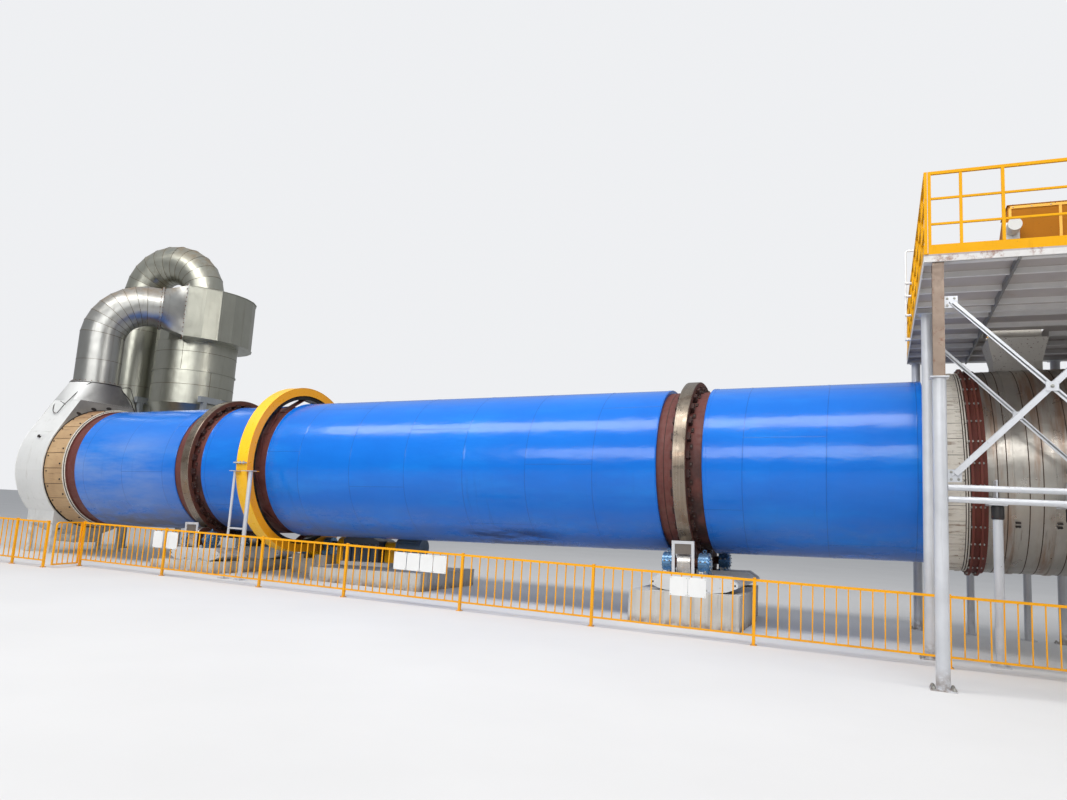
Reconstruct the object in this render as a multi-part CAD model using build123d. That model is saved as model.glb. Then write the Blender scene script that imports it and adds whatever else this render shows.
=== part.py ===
from build123d import *
from math import acos, asin, atan, cos, degrees, hypot, pi, radians, sin, sqrt, tan
import os

os.makedirs("parts", exist_ok=True)

# Rotary drum dryer, in millimetres. The origin is on the ground, under the middle of the feed
# riding ring. X runs along the drum towards the feed end, Y away from the walkway, Z up.
# Places named "at" along the drum are measured on its axis, from the feed riding ring.

# Drum
slope_percent = 3.0
axis_height = 3120.0
shell_radius = 1690.0
shell_wall = 22.0
shell_courses = 4
discharge_end_at = -18950.0
feed_end_at = 4950.0
sheet_gap = 0.3

# Lagging, as closed sleeves of sheet round the shell
cool_sleeve_radius = 1712.0
hot_sleeve_radius = 1755.0
discharge_sleeve_from = -17400.0
discharge_sleeve_to = -13560.0
middle_sleeve_from = -12620.0
middle_sleeve_to = -11150.0
main_sleeve_from = -10440.0
main_sleeve_to = -500.0
feed_sleeve_from = 430.0
feed_sleeve_to = 4400.0

# Riding rings
ring_radius = 1920.0
ring_thickness = 140.0
ring_width = 260.0
ring_chamfer = 12.0
discharge_ring_at = -13000.0
pad_count = 30
pad_width = 150.0
pad_lug = 60.0
pad_lug_height = 45.0

# Trunnion rollers
roller_radius = 320.0
roller_width = 280.0
roller_angle = 30.0
roller_shaft_radius = 90.0
rolling_gap = 0.3
bearing_radius = 200.0
bearing_length = 200.0
bearing_offset = 260.0
bearing_rib = 14.0
bearing_rib_height = 10.0
bearing_foot_height = 12.0
bearing_sole = 36.0
bearing_foot_width = 560.0
shaft_clearance = 0.05
end_clearance = 6.0

# Base frames and piers
base_length = 1730.0
base_width = 760.0
base_height = 327.0
base_shift = 205.0
base_shoulder = 0.39
base_nose_radius = 62.0
base_eye_radius = 20.0
base_bed = 70.0
roller_well_gap = 25.0
pier_length = 2150.0
pier_front = -1800.0
pier_back = 550.0
rear_pier_front = 640.0
rear_pier_back = 1700.0
rear_pier_length = 1900.0
pier_shift = 140.0
pier_corner = 25.0

# Roller guards
guard_bar = 60.0
guard_plate = 20.0
guard_clearance = 20.0
guard_side_gap = 25.0
guard_rise = 440.0
guard_panel_height = 260.0
guard_panel = 4.0

# Girth gear and pinion
gear_at = -10790.0
module = 25.0
gear_teeth = 160
pinion_teeth = 20
pressure_angle = 20.0
gear_width = 270.0
pinion_width = 300.0
tooth_backlash = 1.6
rim_inner_radius = 1885.0
spring_plate_count = 12
spring_plate = 16.0
spring_plate_width = 230.0
pinion_angle = 28.0
pinion_shaft_radius = 80.0
pinion_bearing_radius = 180.0
pinion_bearing_length = 220.0
pinion_bearing_offset = 235.0
pinion_foot_height = 115.0
pinion_foot_width = 440.0
pinion_pier_width = 900.0
trench_gap = 25.0

# Gear guard, a rolled channel in arcs
hoop_radius = 2200.0
hoop_width = 340.0
hoop_lip = 212.0
hoop_sheet = 8.0
pinion_case_radius = 375.0
split_bar = 110.0
split_bar_thickness = 15.0
shaft_hole_gap = 15.0
hoop_posts_at = -10645.0
hoop_post_radii = (30.0, 50.0)
hoop_post_spread = 250.0
hoop_post_reach = 2285.0
hoop_lug_drop = 200.0
hoop_lug_half = 100.0
hoop_foot = 200.0
foot_plate = 16.0

# Drive
drive_from = -9550.0
drive_to = -6300.0
drive_front = -800.0
drive_back = 1950.0
drive_nose_from = -10100.0
drive_nose_width = 1100.0
drive_drop = 520.0
gearbox_from = -9720.0
gearbox_to = -8600.0
gearbox_half_width = 380.0
gearbox_rise = 270.0
gearbox_rim = 40.0
gearbox_bed = 100.0
gearbox_bed_to = -8190.0
motor_from = -8170.0
motor_to = -7420.0
motor_radius = 235.0
coupling_radius = 150.0
coupling_length = 300.0
coupling_cover = 8.0
coupling_cover_radius = 200.0
fast_cover_radius = 130.0

# Discharge seal and hood
wear_ring_radius = 1735.0
wear_ring_from = -17990.0
wear_ring_to = -17760.0
leaf_radius = 1768.0
leaf_sheet = 20.0
leaf_to = -17800.0
seal_gap = 6.0
hood_face_x = -18600.0
hood_depth = 1300.0
hood_radius = 2450.0
hood_sheet = 10.0
hood_floor_z = 560.0
riser_x = -19250.0
duct_radius = 650.0
hood_top_z = 5220.0
outlet_length = 1000.0
outlet_width = 800.0
outlet_drop = 260.0
hood_leg = 120.0

# Exhaust duct and cyclone
duct_bearing = 49.5
elbow_radius = 1300.0
elbow_gores = 9
duct_axis_z = 7980.0
flange_reach = 1590.0
inlet_reach = 2330.0
inlet_width = 650.0
inlet_height = 1700.0
duct_flange = 60.0
duct_flange_thickness = 24.0
cyclone_radius = 1350.0
scroll_lead = 560.0
scroll_turn = 270.0
scroll_rim = 30.0
scroll_plate = 12.0
barrel_bottom_z = 4970.0
cone_bottom_z = 2150.0
cone_end_radius = 300.0
stiffener_z = 6100.0
outlet_radius = 680.0
outlet_bend_radius = 1180.0
outlet_bend_z = 8950.0
outlet_bearing = 193.0
bend_gores = 13
downcomer_bottom_z = 900.0
out_flange_radius = 740.0
out_bolt_circle = 1420.0
out_bolts = 16
out_bolt_radius = 13.0

# Cyclone stand
stand_spread = 1480.0
stand_front_y = 2450.0
stand_back_y = 4770.0
stand_post = 150.0
stand_beam = 200.0
lug_z = 5200.0
lug_plate = 20.0
collar_height = 120.0
collar_thickness = 30.0
collars_z = (1600.0, 4300.0)

# Feed seal and hot-air chamber
feed_seal_from = 4480.0
feed_seal_to = 5050.0
feed_seal_radius = 1870.0
feed_seal_sheet = 20.0
flange_ring_to = 5230.0
flange_ring_radius = 1965.0
flange_ring_web_radius = 1905.0
flange_ring_plate = 40.0
dark_ring_to = 5300.0
dark_ring_radius = 1915.0
chamber_radius = 1890.0
chamber_lining = 300.0
chamber_to = 9300.0
chamber_band = 15.0
chamber_band_width = 90.0
chamber_bands_at = (5690.0, 6290.0, 7100.0, 8000.0, 9150.0)
end_plate = 30.0
burner_neck_radius = 450.0
burner_wall = 40.0
burner_neck_length = 300.0
burner_flange_radius = 580.0
burner_flange = 30.0
burner_bolt_circle = 1060.0
burner_bolts = 16
burner_bolt_radius = 11.0
chamber_leg_radius = 75.0
chamber_leg_reach = 2250.0
chamber_legs_x = (5390.0, 6430.0, 8600.0)
leg_shelf = 30.0
leg_shelf_width = 420.0
leg_shelf_z = 2560.0

# Feed chute
chute_x = 6000.0
chute_length = 800.0
chute_width = 700.0
chute_sheet = 10.0
hopper_length = 1000.0
hopper_width = 900.0
hopper_low_z = 5330.0
hopper_high_z = 5780.0
spout_low_z = 4960.0

# Feed platform
column_radius = 90.0
column_rows_y = (-5090.0, -2230.0, 2180.0)
column_lines_x = (4380.0, 7040.0, 9700.0)
stub_from_z = 4200.0
stub_size = 150.0
stub_plate = 10.0
column_foot = 320.0
deck_z = 5950.0
deck_plate = 20.0
deck_edge = 110.0
deck_edge_plate = 12.0
deck_left_x = 4200.0
deck_right_x = 9880.0
deck_front_y = -5200.0
deck_back_y = 2290.0
joist_count = 8
joist_height = 90.0
joist_plate = 60.0
rail_height = 1240.0
rail_middles = (460.0, 840.0)
rail_bar = 42.0
toe_height = 140.0
toe_plate = 8.0
rail_inset = 30.0
rail_posts_front = 7
rail_posts_side = 9
brace_low_z = 2830.0
brace_high_z = 5270.0
brace_bar = 75.0
brace_plate = 16.0
gusset = 170.0
tie_tube = 42.0
tie_tubes_z = (2510.0, 2670.0)

# Conveyor head on the deck
conveyor_from_x = 5900.0
conveyor_to_x = 9800.0
conveyor_half_width = 430.0
conveyor_bottom_z = 7550.0
conveyor_top_z = 8370.0
conveyor_slant = 110.0
conveyor_posts_x = (6750.0, 9400.0)
conveyor_post = 90.0

# Fence along the walkway
fence_y = -3060.0
fence_height = 1100.0
fence_posts_x = (-12060.0, -9090.0, -6790.0, -4000.0, -1250.0, 1655.0, 4610.0, 7500.0)
gate_post_x = -14900.0
gate_width = 860.0
gate_turn = 103.0
gate_shut_gap = 12.0
left_posts_x = (-17600.0, -16100.0)
fence_post = 50.0
fence_rail = 40.0
fence_low_rail_z = 150.0
baluster = 20.0
baluster_pitch = 178.0
hinge_pin = 12.0

drum_tilt = degrees(atan(slope_percent / 100))
drum_frame = Pos(0, 0, axis_height) * Rot(0, -drum_tilt, 0)


def tube_along_x(start, end, outer, inner=0.0):
    """Tube or disc round the X axis."""
    outline = Circle(outer)
    if inner:
        outline -= Circle(inner)
    return extrude(Plane.YZ.offset(start) * outline, end - start)


def tube_along_z(x, y, low, high, outer, inner=0.0):
    """Upright tube or disc."""
    outline = Circle(outer)
    if inner:
        outline -= Circle(inner)
    return Pos(x, y, low) * extrude(outline, high - low)


def block(x0, x1, y0, y1, z0, z1):
    """Box between two corners."""
    centre = Pos((x0 + x1) / 2, (y0 + y1) / 2, (z0 + z1) / 2)
    return centre * Box(x1 - x0, y1 - y0, z1 - z0)


def bar(start, end, width, depth):
    """Straight bar of rectangular section between two points."""
    line = Line(start, end)
    section = Plane(origin=start, z_dir=line % 0) * Rectangle(width, depth)
    return extrude(section, line.length)


def about_axis(angle, shape):
    """Turn a piece about the drum axis."""
    return Rot(angle, 0, 0) * shape


def in_plane(shape):
    """Put a piece made in the drum's own frame where the drum is."""
    return drum_frame * shape


def height_on_axis(x):
    """Height of the drum axis above ground at world x."""
    return axis_height + x * slope_percent / 100


def world_x(at):
    """World x of a place on the drum axis."""
    return at * cos(radians(drum_tilt))


def save(node, *shapes):
    """Write one node from the solids that it holds."""
    solids = [solid for shape in shapes for solid in shape.solids()]
    export_step(solids[0] if len(solids) == 1 else Compound(solids), f"parts/{node}.step")


# Drum shell and lagging
def drum_shell():
    """Rolled courses of plate, one solid each, welded end to end."""
    length = (feed_end_at - discharge_end_at) / shell_courses
    starts = [discharge_end_at + i * length for i in range(shell_courses)]
    return [tube_along_x(start, start + length, shell_radius, shell_radius - shell_wall) for start in starts]


def sleeve(start, end, radius):
    return tube_along_x(start, end, radius, shell_radius + sheet_gap)


save("drum_shell", *[in_plane(course) for course in drum_shell()])
save(
    "drum_sleeves",
    in_plane(sleeve(discharge_sleeve_from, discharge_sleeve_to, cool_sleeve_radius)),
    in_plane(sleeve(middle_sleeve_from, middle_sleeve_to, cool_sleeve_radius)),
    in_plane(sleeve(main_sleeve_from, main_sleeve_to, hot_sleeve_radius)),
    in_plane(sleeve(feed_sleeve_from, feed_sleeve_to, hot_sleeve_radius)),
)


# Riding rings on pads
ring_bore = ring_radius - ring_thickness


def riding_ring(at):
    ring = tube_along_x(at - ring_width / 2, at + ring_width / 2, ring_radius, ring_bore)
    rims = ring.edges().filter_by(GeomType.CIRCLE)
    return chamfer(rims.filter_by(lambda edge: edge.radius > ring_bore + 1), ring_chamfer)


def ring_pads(at):
    """Chairs between shell and ring, each with a lug at both ends that keeps the ring in place."""
    seat = sqrt((ring_bore - sheet_gap) ** 2 - (pad_width / 2) ** 2)
    foot = shell_radius + sheet_gap
    half = ring_width / 2 + sheet_gap
    outer = half + pad_lug
    top = seat + pad_lug_height
    outline = Polyline(
        (-outer, foot), (outer, foot), (outer, top), (half, top),
        (half, seat), (-half, seat), (-half, top), (-outer, top), close=True,
    )
    profile = Plane.XZ * make_face(outline)
    pad = Pos(at, 0, 0) * extrude(profile, pad_width / 2, both=True)
    return [about_axis(i * 360 / pad_count, pad) for i in range(pad_count)]


stations = (("feed", 0.0), ("discharge", discharge_ring_at))
save("riding_rings", *[in_plane(riding_ring(at)) for _, at in stations])
save("ring_pads", *[in_plane(pad) for _, at in stations for pad in ring_pads(at)])


# Trunnion rollers, their bearings, base frames, guards and piers
roller_distance = ring_radius + roller_radius + rolling_gap
roller_y = roller_distance * sin(radians(roller_angle))
roller_z = -roller_distance * cos(radians(roller_angle))
base_top = roller_z - bearing_radius - bearing_foot_height
base_bottom = base_top - base_height


def roller(at, side):
    shaft_end = bearing_offset + bearing_length - end_clearance * 6
    wheel = tube_along_x(-roller_width / 2, roller_width / 2, roller_radius)
    wheel = chamfer(wheel.edges().filter_by(GeomType.CIRCLE), ring_chamfer)
    wheel += tube_along_x(-shaft_end, shaft_end, roller_shaft_radius)
    return Pos(at, side * roller_y, roller_z) * wheel


def roller_bearing(at, side, end):
    """Ribbed round housing with a blind bore, on a foot as wide as the base."""
    inner = bearing_offset
    outer = bearing_offset + bearing_length
    bore = roller_shaft_radius + shaft_clearance
    bore_end = outer - end_clearance * 5
    points = [(bore_end, 0), (bore_end, bore), (inner, bore), (inner, bearing_radius)]
    for share in (0.12, 0.5, 0.88):
        rib_at = inner + share * bearing_length
        points.append((rib_at - bearing_rib, bearing_radius))
        points.append((rib_at - bearing_rib, bearing_radius + bearing_rib_height))
        points.append((rib_at + bearing_rib, bearing_radius + bearing_rib_height))
        points.append((rib_at + bearing_rib, bearing_radius))
    points += [(outer, bearing_radius), (outer, 0)]
    housing = revolve(make_face(Polyline(*points, close=True)), Axis.X)
    half_foot = bearing_foot_width / 2
    waist = bearing_radius * 0.8
    foot_low = -bearing_radius - bearing_foot_height
    foot_top = foot_low + bearing_sole
    stand = Polyline(
        (-half_foot, foot_low), (half_foot, foot_low), (half_foot, foot_top), (waist, foot_top),
        (waist, -waist / 2), (-waist, -waist / 2), (-waist, foot_top), (-half_foot, foot_top), close=True,
    )
    stand_plane = Plane.YZ.offset(inner + bearing_rib)
    pedestal = extrude(stand_plane * make_face(stand), bearing_length - 2 * bearing_rib)
    housing += pedestal - tube_along_x(inner, outer, bearing_radius * 0.9)
    if end < 0:
        housing = Rot(0, 0, 180) * housing
    return Pos(at, side * roller_y, roller_z) * housing


def base_frame(at, side):
    """Frame whose underside curves up to pointed, rounded ends, each with a lifting eye."""
    half_length = base_length / 2
    half_height = base_height / 2
    shoulder = base_length * base_shoulder
    nose = base_nose_radius
    tip = half_length - nose
    points = [
        (-shoulder, half_height), (shoulder, half_height),
        (tip + nose * 0.5, nose * 0.87), (tip + nose * 0.5, -nose * 0.87),
        (shoulder, -half_height * 0.74), (shoulder * 0.82, -half_height * 0.9),
        (shoulder * 0.5, -half_height), (-shoulder * 0.5, -half_height),
        (-shoulder * 0.82, -half_height * 0.9), (-shoulder, -half_height * 0.74),
        (-tip - nose * 0.5, -nose * 0.87), (-tip - nose * 0.5, nose * 0.87),
    ]
    outline = make_face(Polyline(*points, close=True))
    outline += Pos(tip, 0) * Circle(nose) + Pos(-tip, 0) * Circle(nose)
    outline -= Pos(tip, 0) * Circle(base_eye_radius) + Pos(-tip, 0) * Circle(base_eye_radius)
    frame = extrude(Plane.XZ * outline, base_width / 2, both=True)
    bed = bearing_offset + bearing_length + bearing_rib * 2
    bed_top = half_height
    bed_low = bed_top - base_bed
    frame += block(-bed - base_shift, bed - base_shift, -base_width / 2, base_width / 2, bed_low, bed_top)
    sink = bearing_radius + bearing_foot_height
    well_radius = roller_radius + roller_well_gap
    well_half = sqrt(well_radius ** 2 - sink ** 2)
    end = roller_width / 2 + roller_well_gap
    well_low = bed_top - well_radius + sink
    frame -= block(-end - base_shift, end - base_shift, -well_half, well_half, well_low, bed_top + 1)
    return Pos(at + base_shift, side * roller_y, base_bottom + half_height) * frame


def roller_guard(at, side):
    """Upright hoop of flat bar in front of the roller, with a panel in its upper half."""
    half = roller_width / 2 + guard_side_gap
    face = side * (roller_y + roller_radius + guard_clearance)
    back = face + side * guard_plate
    low, high = sorted((face, back))
    top = roller_z + guard_rise
    frame = block(at - half - guard_bar, at - half, low, high, base_top, top)
    frame += block(at + half, at + half + guard_bar, low, high, base_top, top)
    frame += block(at - half - guard_bar, at + half + guard_bar, low, high, top - guard_bar, top)
    panel_low, panel_high = sorted((face, face + side * guard_panel))
    frame += block(at - half - 1, at + half + 1, panel_low, panel_high, top - guard_panel_height, top - 1)
    return frame


def sloped_pier(x_middle, length, width, top_drop, y_middle=0.0):
    """Concrete pier whose top follows the slope of the drum, under what stands on it."""
    def top_at(x):
        return height_on_axis(x) + top_drop / cos(radians(drum_tilt))
    x0 = x_middle - length / 2
    x1 = x_middle + length / 2
    side_view = Polyline((x0, 0), (x1, 0), (x1, top_at(x1)), (x0, top_at(x0)), close=True)
    pier = extrude(Plane.XZ * make_face(side_view), width / 2, both=True)
    pier = chamfer(pier.edges().filter_by(Axis.Z), pier_corner)
    return Pos(0, y_middle, 0) * pier


sides = (("front", -1), ("back", 1))
places = [(at, side) for _, at in stations for _, side in sides]
for name, at in stations:
    for side_name, side in sides:
        save(f"{name}_{side_name}_roller", in_plane(roller(at, side)))
save("roller_bearings", *[in_plane(roller_bearing(at, side, end)) for at, side in places for end in (-1, 1)])
save("base_frames", *[in_plane(base_frame(at, side)) for at, side in places])
save("roller_guards", *[in_plane(roller_guard(at, side)) for at, side in places])


# Girth gear and pinion
def gear_outline(teeth, first_space):
    """Spur gear outline with involute flanks, one tooth space centred on the angle first_space."""
    pitch = module * teeth / 2
    base = pitch * cos(radians(pressure_angle))
    root = pitch - 1.25 * module
    tip = pitch + module

    def involute(radius):
        roll = acos(min(1.0, base / radius))
        return tan(roll) - roll

    at_pitch = pi / (2 * teeth) - tooth_backlash / (4 * pitch)

    def half_tooth(radius):
        return at_pitch + involute(pitch) - involute(max(radius, base))

    radii = [root, pitch, tip] if root > base else [root, base, pitch, tip]
    points = []
    for i in range(teeth):
        middle = radians(first_space) + (i + 0.5) * 2 * pi / teeth
        flank = [(radius, middle - half_tooth(radius)) for radius in radii]
        flank += [(radius, middle + half_tooth(radius)) for radius in reversed(radii)]
        points += [(radius * cos(turn), radius * sin(turn)) for radius, turn in flank]
    return make_face(Polyline(*points, close=True))


pinion_direction = 270 + pinion_angle
gear_pitch_radius = module * gear_teeth / 2
pinion_pitch_radius = module * pinion_teeth / 2
pinion_distance = gear_pitch_radius + pinion_pitch_radius
pinion_y = pinion_distance * cos(radians(pinion_direction))
pinion_z = pinion_distance * sin(radians(pinion_direction))


def girth_gear():
    outline = gear_outline(gear_teeth, pinion_direction) - Circle(rim_inner_radius)
    return extrude(Plane.YZ.offset(gear_at - gear_width / 2) * outline, gear_width)


def spring_plates():
    """Flat plates that leave the shell at a tangent and reach the rim of the gear."""
    low = shell_radius + sheet_gap
    high = low + spring_plate
    reach = sqrt((rim_inner_radius - sheet_gap) ** 2 - high ** 2)
    half = spring_plate_width / 2
    plate = block(gear_at - half, gear_at + half, -spring_plate * 4, reach, low, high)
    return [about_axis(i * 360 / spring_plate_count, plate) for i in range(spring_plate_count)]


def pinion():
    """Pinion with its shaft, which carries half the coupling and ends in the gearbox."""
    outline = gear_outline(pinion_teeth, pinion_direction - 180 + 180 / pinion_teeth)
    wheel = extrude(Plane.YZ.offset(gear_at - pinion_width / 2) * outline, pinion_width)
    shaft_from = gear_at - pinion_bearing_offset - pinion_bearing_length + end_clearance
    wheel += tube_along_x(shaft_from, gearbox_from + 60, pinion_shaft_radius)
    hub_to = gearbox_from - gearbox_rim - end_clearance * 2
    wheel += tube_along_x(hub_to - coupling_length, hub_to, coupling_radius)
    return Pos(0, pinion_y, pinion_z) * wheel


def pinion_bearing(end):
    inner = pinion_bearing_offset
    outer = inner + pinion_bearing_length
    housing = tube_along_x(inner, outer, pinion_bearing_radius)
    foot_low = -pinion_bearing_radius - pinion_foot_height
    half_foot = pinion_foot_width / 2
    housing += block(inner, outer, -half_foot, half_foot, foot_low, foot_low + pinion_foot_height)
    waist = pinion_bearing_radius * 0.8
    housing += block(inner, outer, -waist, waist, foot_low, -waist / 2)
    housing -= tube_along_x(inner - 1, outer + 1, pinion_shaft_radius + shaft_clearance)
    if end < 0:
        housing = Rot(0, 0, 180) * housing
    return Pos(gear_at, pinion_y, pinion_z) * housing


pinion_seat = pinion_z - pinion_bearing_radius - pinion_foot_height
pinion_pier_length = 2 * (pinion_bearing_offset + pinion_bearing_length) + 260
save("girth_gear", in_plane(girth_gear()))
save("gear_spring_plates", *[in_plane(plate) for plate in spring_plates()])
save("pinion", in_plane(pinion()))
save("pinion_bearings", in_plane(pinion_bearing(-1)), in_plane(pinion_bearing(1)))
pinion_pier_x = world_x(gear_at) - pinion_z * sin(radians(drum_tilt))


# Gear guard and its posts
def hoop_arc(start, end):
    """Arc of the guard channel, from angle start to angle end, counted from +Y over the top."""
    half = hoop_width / 2
    inner = hoop_radius - hoop_lip
    outline = Polyline(
        (-half, inner), (-half + hoop_sheet, inner), (-half + hoop_sheet, hoop_radius - hoop_sheet),
        (half - hoop_sheet, hoop_radius - hoop_sheet), (half - hoop_sheet, inner), (half, inner),
        (half, hoop_radius), (-half, hoop_radius), close=True,
    )
    arc = revolve(make_face(outline), Axis.X, end - start)
    return about_axis(start, Pos(gear_at, 0, 0) * arc)


def split_flange(side, above):
    """Flange at the joint of the guard's halves."""
    low, high = sorted((side * (hoop_radius - hoop_sheet), side * (hoop_radius + split_bar)))
    half = hoop_width / 2
    z0 = sheet_gap / 2 if above else -sheet_gap / 2 - split_bar_thickness
    return block(gear_at - half, gear_at + half, low, high, z0, z0 + split_bar_thickness)


def case_outline(inset):
    """Lower half of the guard seen along the drum: a half ring that widens round the pinion."""
    ring = hoop_radius - inset
    case = pinion_case_radius - inset
    lean = degrees(acos((ring - case) / pinion_distance))
    normal = radians(pinion_direction + lean)
    corner = (pinion_y + case * cos(normal), pinion_z + case * sin(normal))
    meeting = (ring * cos(normal), ring * sin(normal))
    outline = Circle(ring) + Pos(pinion_y, pinion_z) * Circle(case)
    outline += make_face(Polyline((0, 0), (0, -ring), (pinion_y, -ring), (pinion_y, pinion_z), close=True))
    outline += make_face(Polyline((0, 0), (pinion_y, pinion_z), corner, meeting, close=True))
    joint = -sheet_gap / 2
    return outline - Pos(0, joint + hoop_radius) * Rectangle(hoop_radius * 4, hoop_radius * 2)


def lower_guard():
    """Rolled rim and two side plates with holes for the pinion's shaft, and lugs on the posts."""
    start = gear_at - hoop_width / 2
    rim = extrude(Plane.YZ.offset(start) * (case_outline(0) - case_outline(hoop_sheet)), hoop_width)
    side_plate = case_outline(0) - Circle(hoop_radius - hoop_lip)
    side_plate -= Pos(pinion_y, pinion_z) * Circle(pinion_shaft_radius + shaft_hole_gap)
    for x in (start, start + hoop_width - hoop_sheet):
        rim += extrude(Plane.YZ.offset(x) * side_plate, hoop_sheet)
    for side in (-1, 1):
        rim += split_flange(side, False)
        rim += post_lug(side, -1)
        rim += post_lug(side, 1)
    return rim


def post_lug(side, end):
    """Plate that stands out from the guard over the head of a post."""
    post_x = hoop_posts_at + end * hoop_post_spread
    guard_side = gear_at + end * hoop_width / 2
    low = min(post_x - hoop_lug_half, guard_side - hoop_sheet / 2)
    high = post_x + hoop_lug_half
    near = hoop_radius - hoop_sheet - (0 if end < 0 else hoop_lip / 3)
    y0, y1 = sorted((side * near, side * (hoop_post_reach + hoop_lug_half)))
    return block(low, high, y0, y1, -hoop_lug_drop - split_bar_thickness, -hoop_lug_drop)


joint_turn = degrees(sheet_gap / 2 / hoop_radius)
upper_guard = hoop_arc(joint_turn, 180 - joint_turn) + split_flange(-1, True) + split_flange(1, True)
save("gear_guard_upper", in_plane(upper_guard))
save("gear_guard_lower", in_plane(lower_guard()))


def hoop_posts(side):
    """Pair of posts with a rung and one foot plate each, up to the lugs of the guard."""
    y = side * hoop_post_reach
    under = -hoop_lug_drop - split_bar_thickness - sheet_gap
    pair = None
    for end, radius in zip((-1, 1), hoop_post_radii):
        x = hoop_posts_at + end * hoop_post_spread
        top = height_on_axis(x) + under - radius * slope_percent / 100
        post = tube_along_z(x, y, 0, top, radius)
        half = hoop_foot / 2
        post += block(x - half, x + half, y - half, y + half, 0, foot_plate)
        pair = post if pair is None else pair + post
    rung = hoop_post_radii[0] / 2
    return pair + block(hoop_posts_at - hoop_post_spread, hoop_posts_at + hoop_post_spread,
                        y - rung, y + rung, 1185, 1225)


save("gear_guard_posts", hoop_posts(-1), hoop_posts(1))


# Drive: gearbox, motor, coupling cover, plinth
drive_seat = pinion_z - drive_drop


def gearbox():
    """Split housing with a stepped top, a joint flange, ribs and feet."""
    half = gearbox_half_width
    low = drive_seat - pinion_z
    side_view = Polyline(
        (gearbox_from, low + gearbox_bed), (gearbox_to, low + gearbox_bed), (gearbox_to, gearbox_rise * 0.5),
        (gearbox_to - 320, gearbox_rise), (gearbox_from + 180, gearbox_rise),
        (gearbox_from, gearbox_rise * 0.6), close=True,
    )
    body = extrude(Plane.XZ * make_face(side_view), half, both=True)
    x0 = gearbox_from - gearbox_rim
    x1 = gearbox_to + gearbox_rim
    body += block(x0, x1, -half - gearbox_rim, half + gearbox_rim, -20, 20)
    body += block(x0, gearbox_bed_to, -half - 70, half + 70, low, low + gearbox_bed)
    middle = (gearbox_from + gearbox_to) / 2
    for shift in (-300, 0, 300):
        body += block(middle + shift - 12, middle + shift + 12, -half - gearbox_rim, half + gearbox_rim,
                      low + gearbox_bed, -20)
    body -= tube_along_x(x0 - 1, gearbox_from + 90, pinion_shaft_radius + shaft_clearance)
    return Pos(0, pinion_y, pinion_z) * body


def motor():
    """Finned motor on feet, with its fan cowl, and the input coupling to the gearbox."""
    low = drive_seat - pinion_z
    body = tube_along_x(motor_from, motor_to, motor_radius - 25)
    body += tube_along_x(motor_to - 120, motor_to, motor_radius)
    body += tube_along_x(motor_from, motor_from + 50, motor_radius)
    fins = 18
    for i in range(fins):
        fin = block(motor_from + 50, motor_to - 121, -7, 7, motor_radius - 40, motor_radius)
        body += about_axis((i + 0.5) * 360 / fins, fin)
    body += block(motor_from + 60, motor_to - 140, -200, 200, low, low + 40)
    body += block(motor_from + 100, motor_to - 180, -150, 150, low + 40, -motor_radius + 60)
    body += block(motor_from + 160, motor_to - 220, motor_radius - 60, motor_radius + 90, -90, 110)
    body += tube_along_x(gearbox_to + gearbox_rim + sheet_gap, motor_from + 1, coupling_radius * 0.6)
    return Pos(0, pinion_y, pinion_z) * body


def coupling_cover_piece(start, end, radius, low):
    """Half-round cover over a coupling, on two side walls."""
    outline = Circle(radius) - Circle(radius - coupling_cover)
    outline -= Pos(0, -radius) * Rectangle(radius * 2, radius * 2)
    cover = extrude(Plane.YZ.offset(start) * outline, end - start)
    for side in (-1, 1):
        y0, y1 = sorted((side * (radius - coupling_cover), side * radius))
        cover += block(start, end, y0, y1, low, 0)
    return Pos(0, pinion_y, pinion_z) * cover


slow_cover_end = gearbox_from - gearbox_rim - sheet_gap
fast_cover_start = gearbox_to + gearbox_rim + sheet_gap
slow_cover_start = slow_cover_end - coupling_length
slow_cover = coupling_cover_piece(slow_cover_start, slow_cover_end, coupling_cover_radius, -drive_drop)
fast_cover_end = motor_from - sheet_gap
fast_cover_low = gearbox_bed - drive_drop
fast_cover = coupling_cover_piece(fast_cover_start, fast_cover_end, fast_cover_radius, fast_cover_low)


save("gearbox", in_plane(gearbox()))
save("drive_motor", in_plane(motor()))
save("coupling_guard", in_plane(slow_cover), in_plane(fast_cover))


def pinion_pier():
    """Pier under both bearings, with a trench across it for the bottom of the guard."""
    pier = sloped_pier(pinion_pier_x, pinion_pier_length, pinion_pier_width, pinion_seat, pinion_y)
    half = hoop_width / 2 + trench_gap
    trench_low = pinion_z - pinion_case_radius - trench_gap
    return pier - in_plane(block(gear_at - half, gear_at + half, pinion_y - pinion_pier_width,
                                 pinion_y + pinion_pier_width, trench_low, pinion_z))


def drive_plinth():
    """Wide plinth with a narrow nose under the slow coupling."""
    def part_of_it(x0, x1, y0, y1):
        return sloped_pier(world_x((x0 + x1) / 2), x1 - x0, y1 - y0, drive_seat, (y0 + y1) / 2)
    half = drive_nose_width / 2
    nose = part_of_it(drive_nose_from, drive_from + pier_corner * 2, pinion_y - half, pinion_y + half)
    return part_of_it(drive_from, drive_to, drive_front, drive_back) + nose


save(
    "concrete_piers",
    *[sloped_pier(world_x(at) + pier_shift, pier_length, pier_back - pier_front, base_bottom,
                  (pier_front + pier_back) / 2) for _, at in stations],
    *[sloped_pier(world_x(at) + pier_shift, rear_pier_length, rear_pier_back - rear_pier_front, base_bottom,
                  (rear_pier_front + rear_pier_back) / 2) for _, at in stations],
    pinion_pier(),
    drive_plinth(),
)


# Discharge seal: wear ring on the drum, leaf sleeve on the hood, ropes round it
leaf_bore = leaf_radius - leaf_sheet


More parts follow.
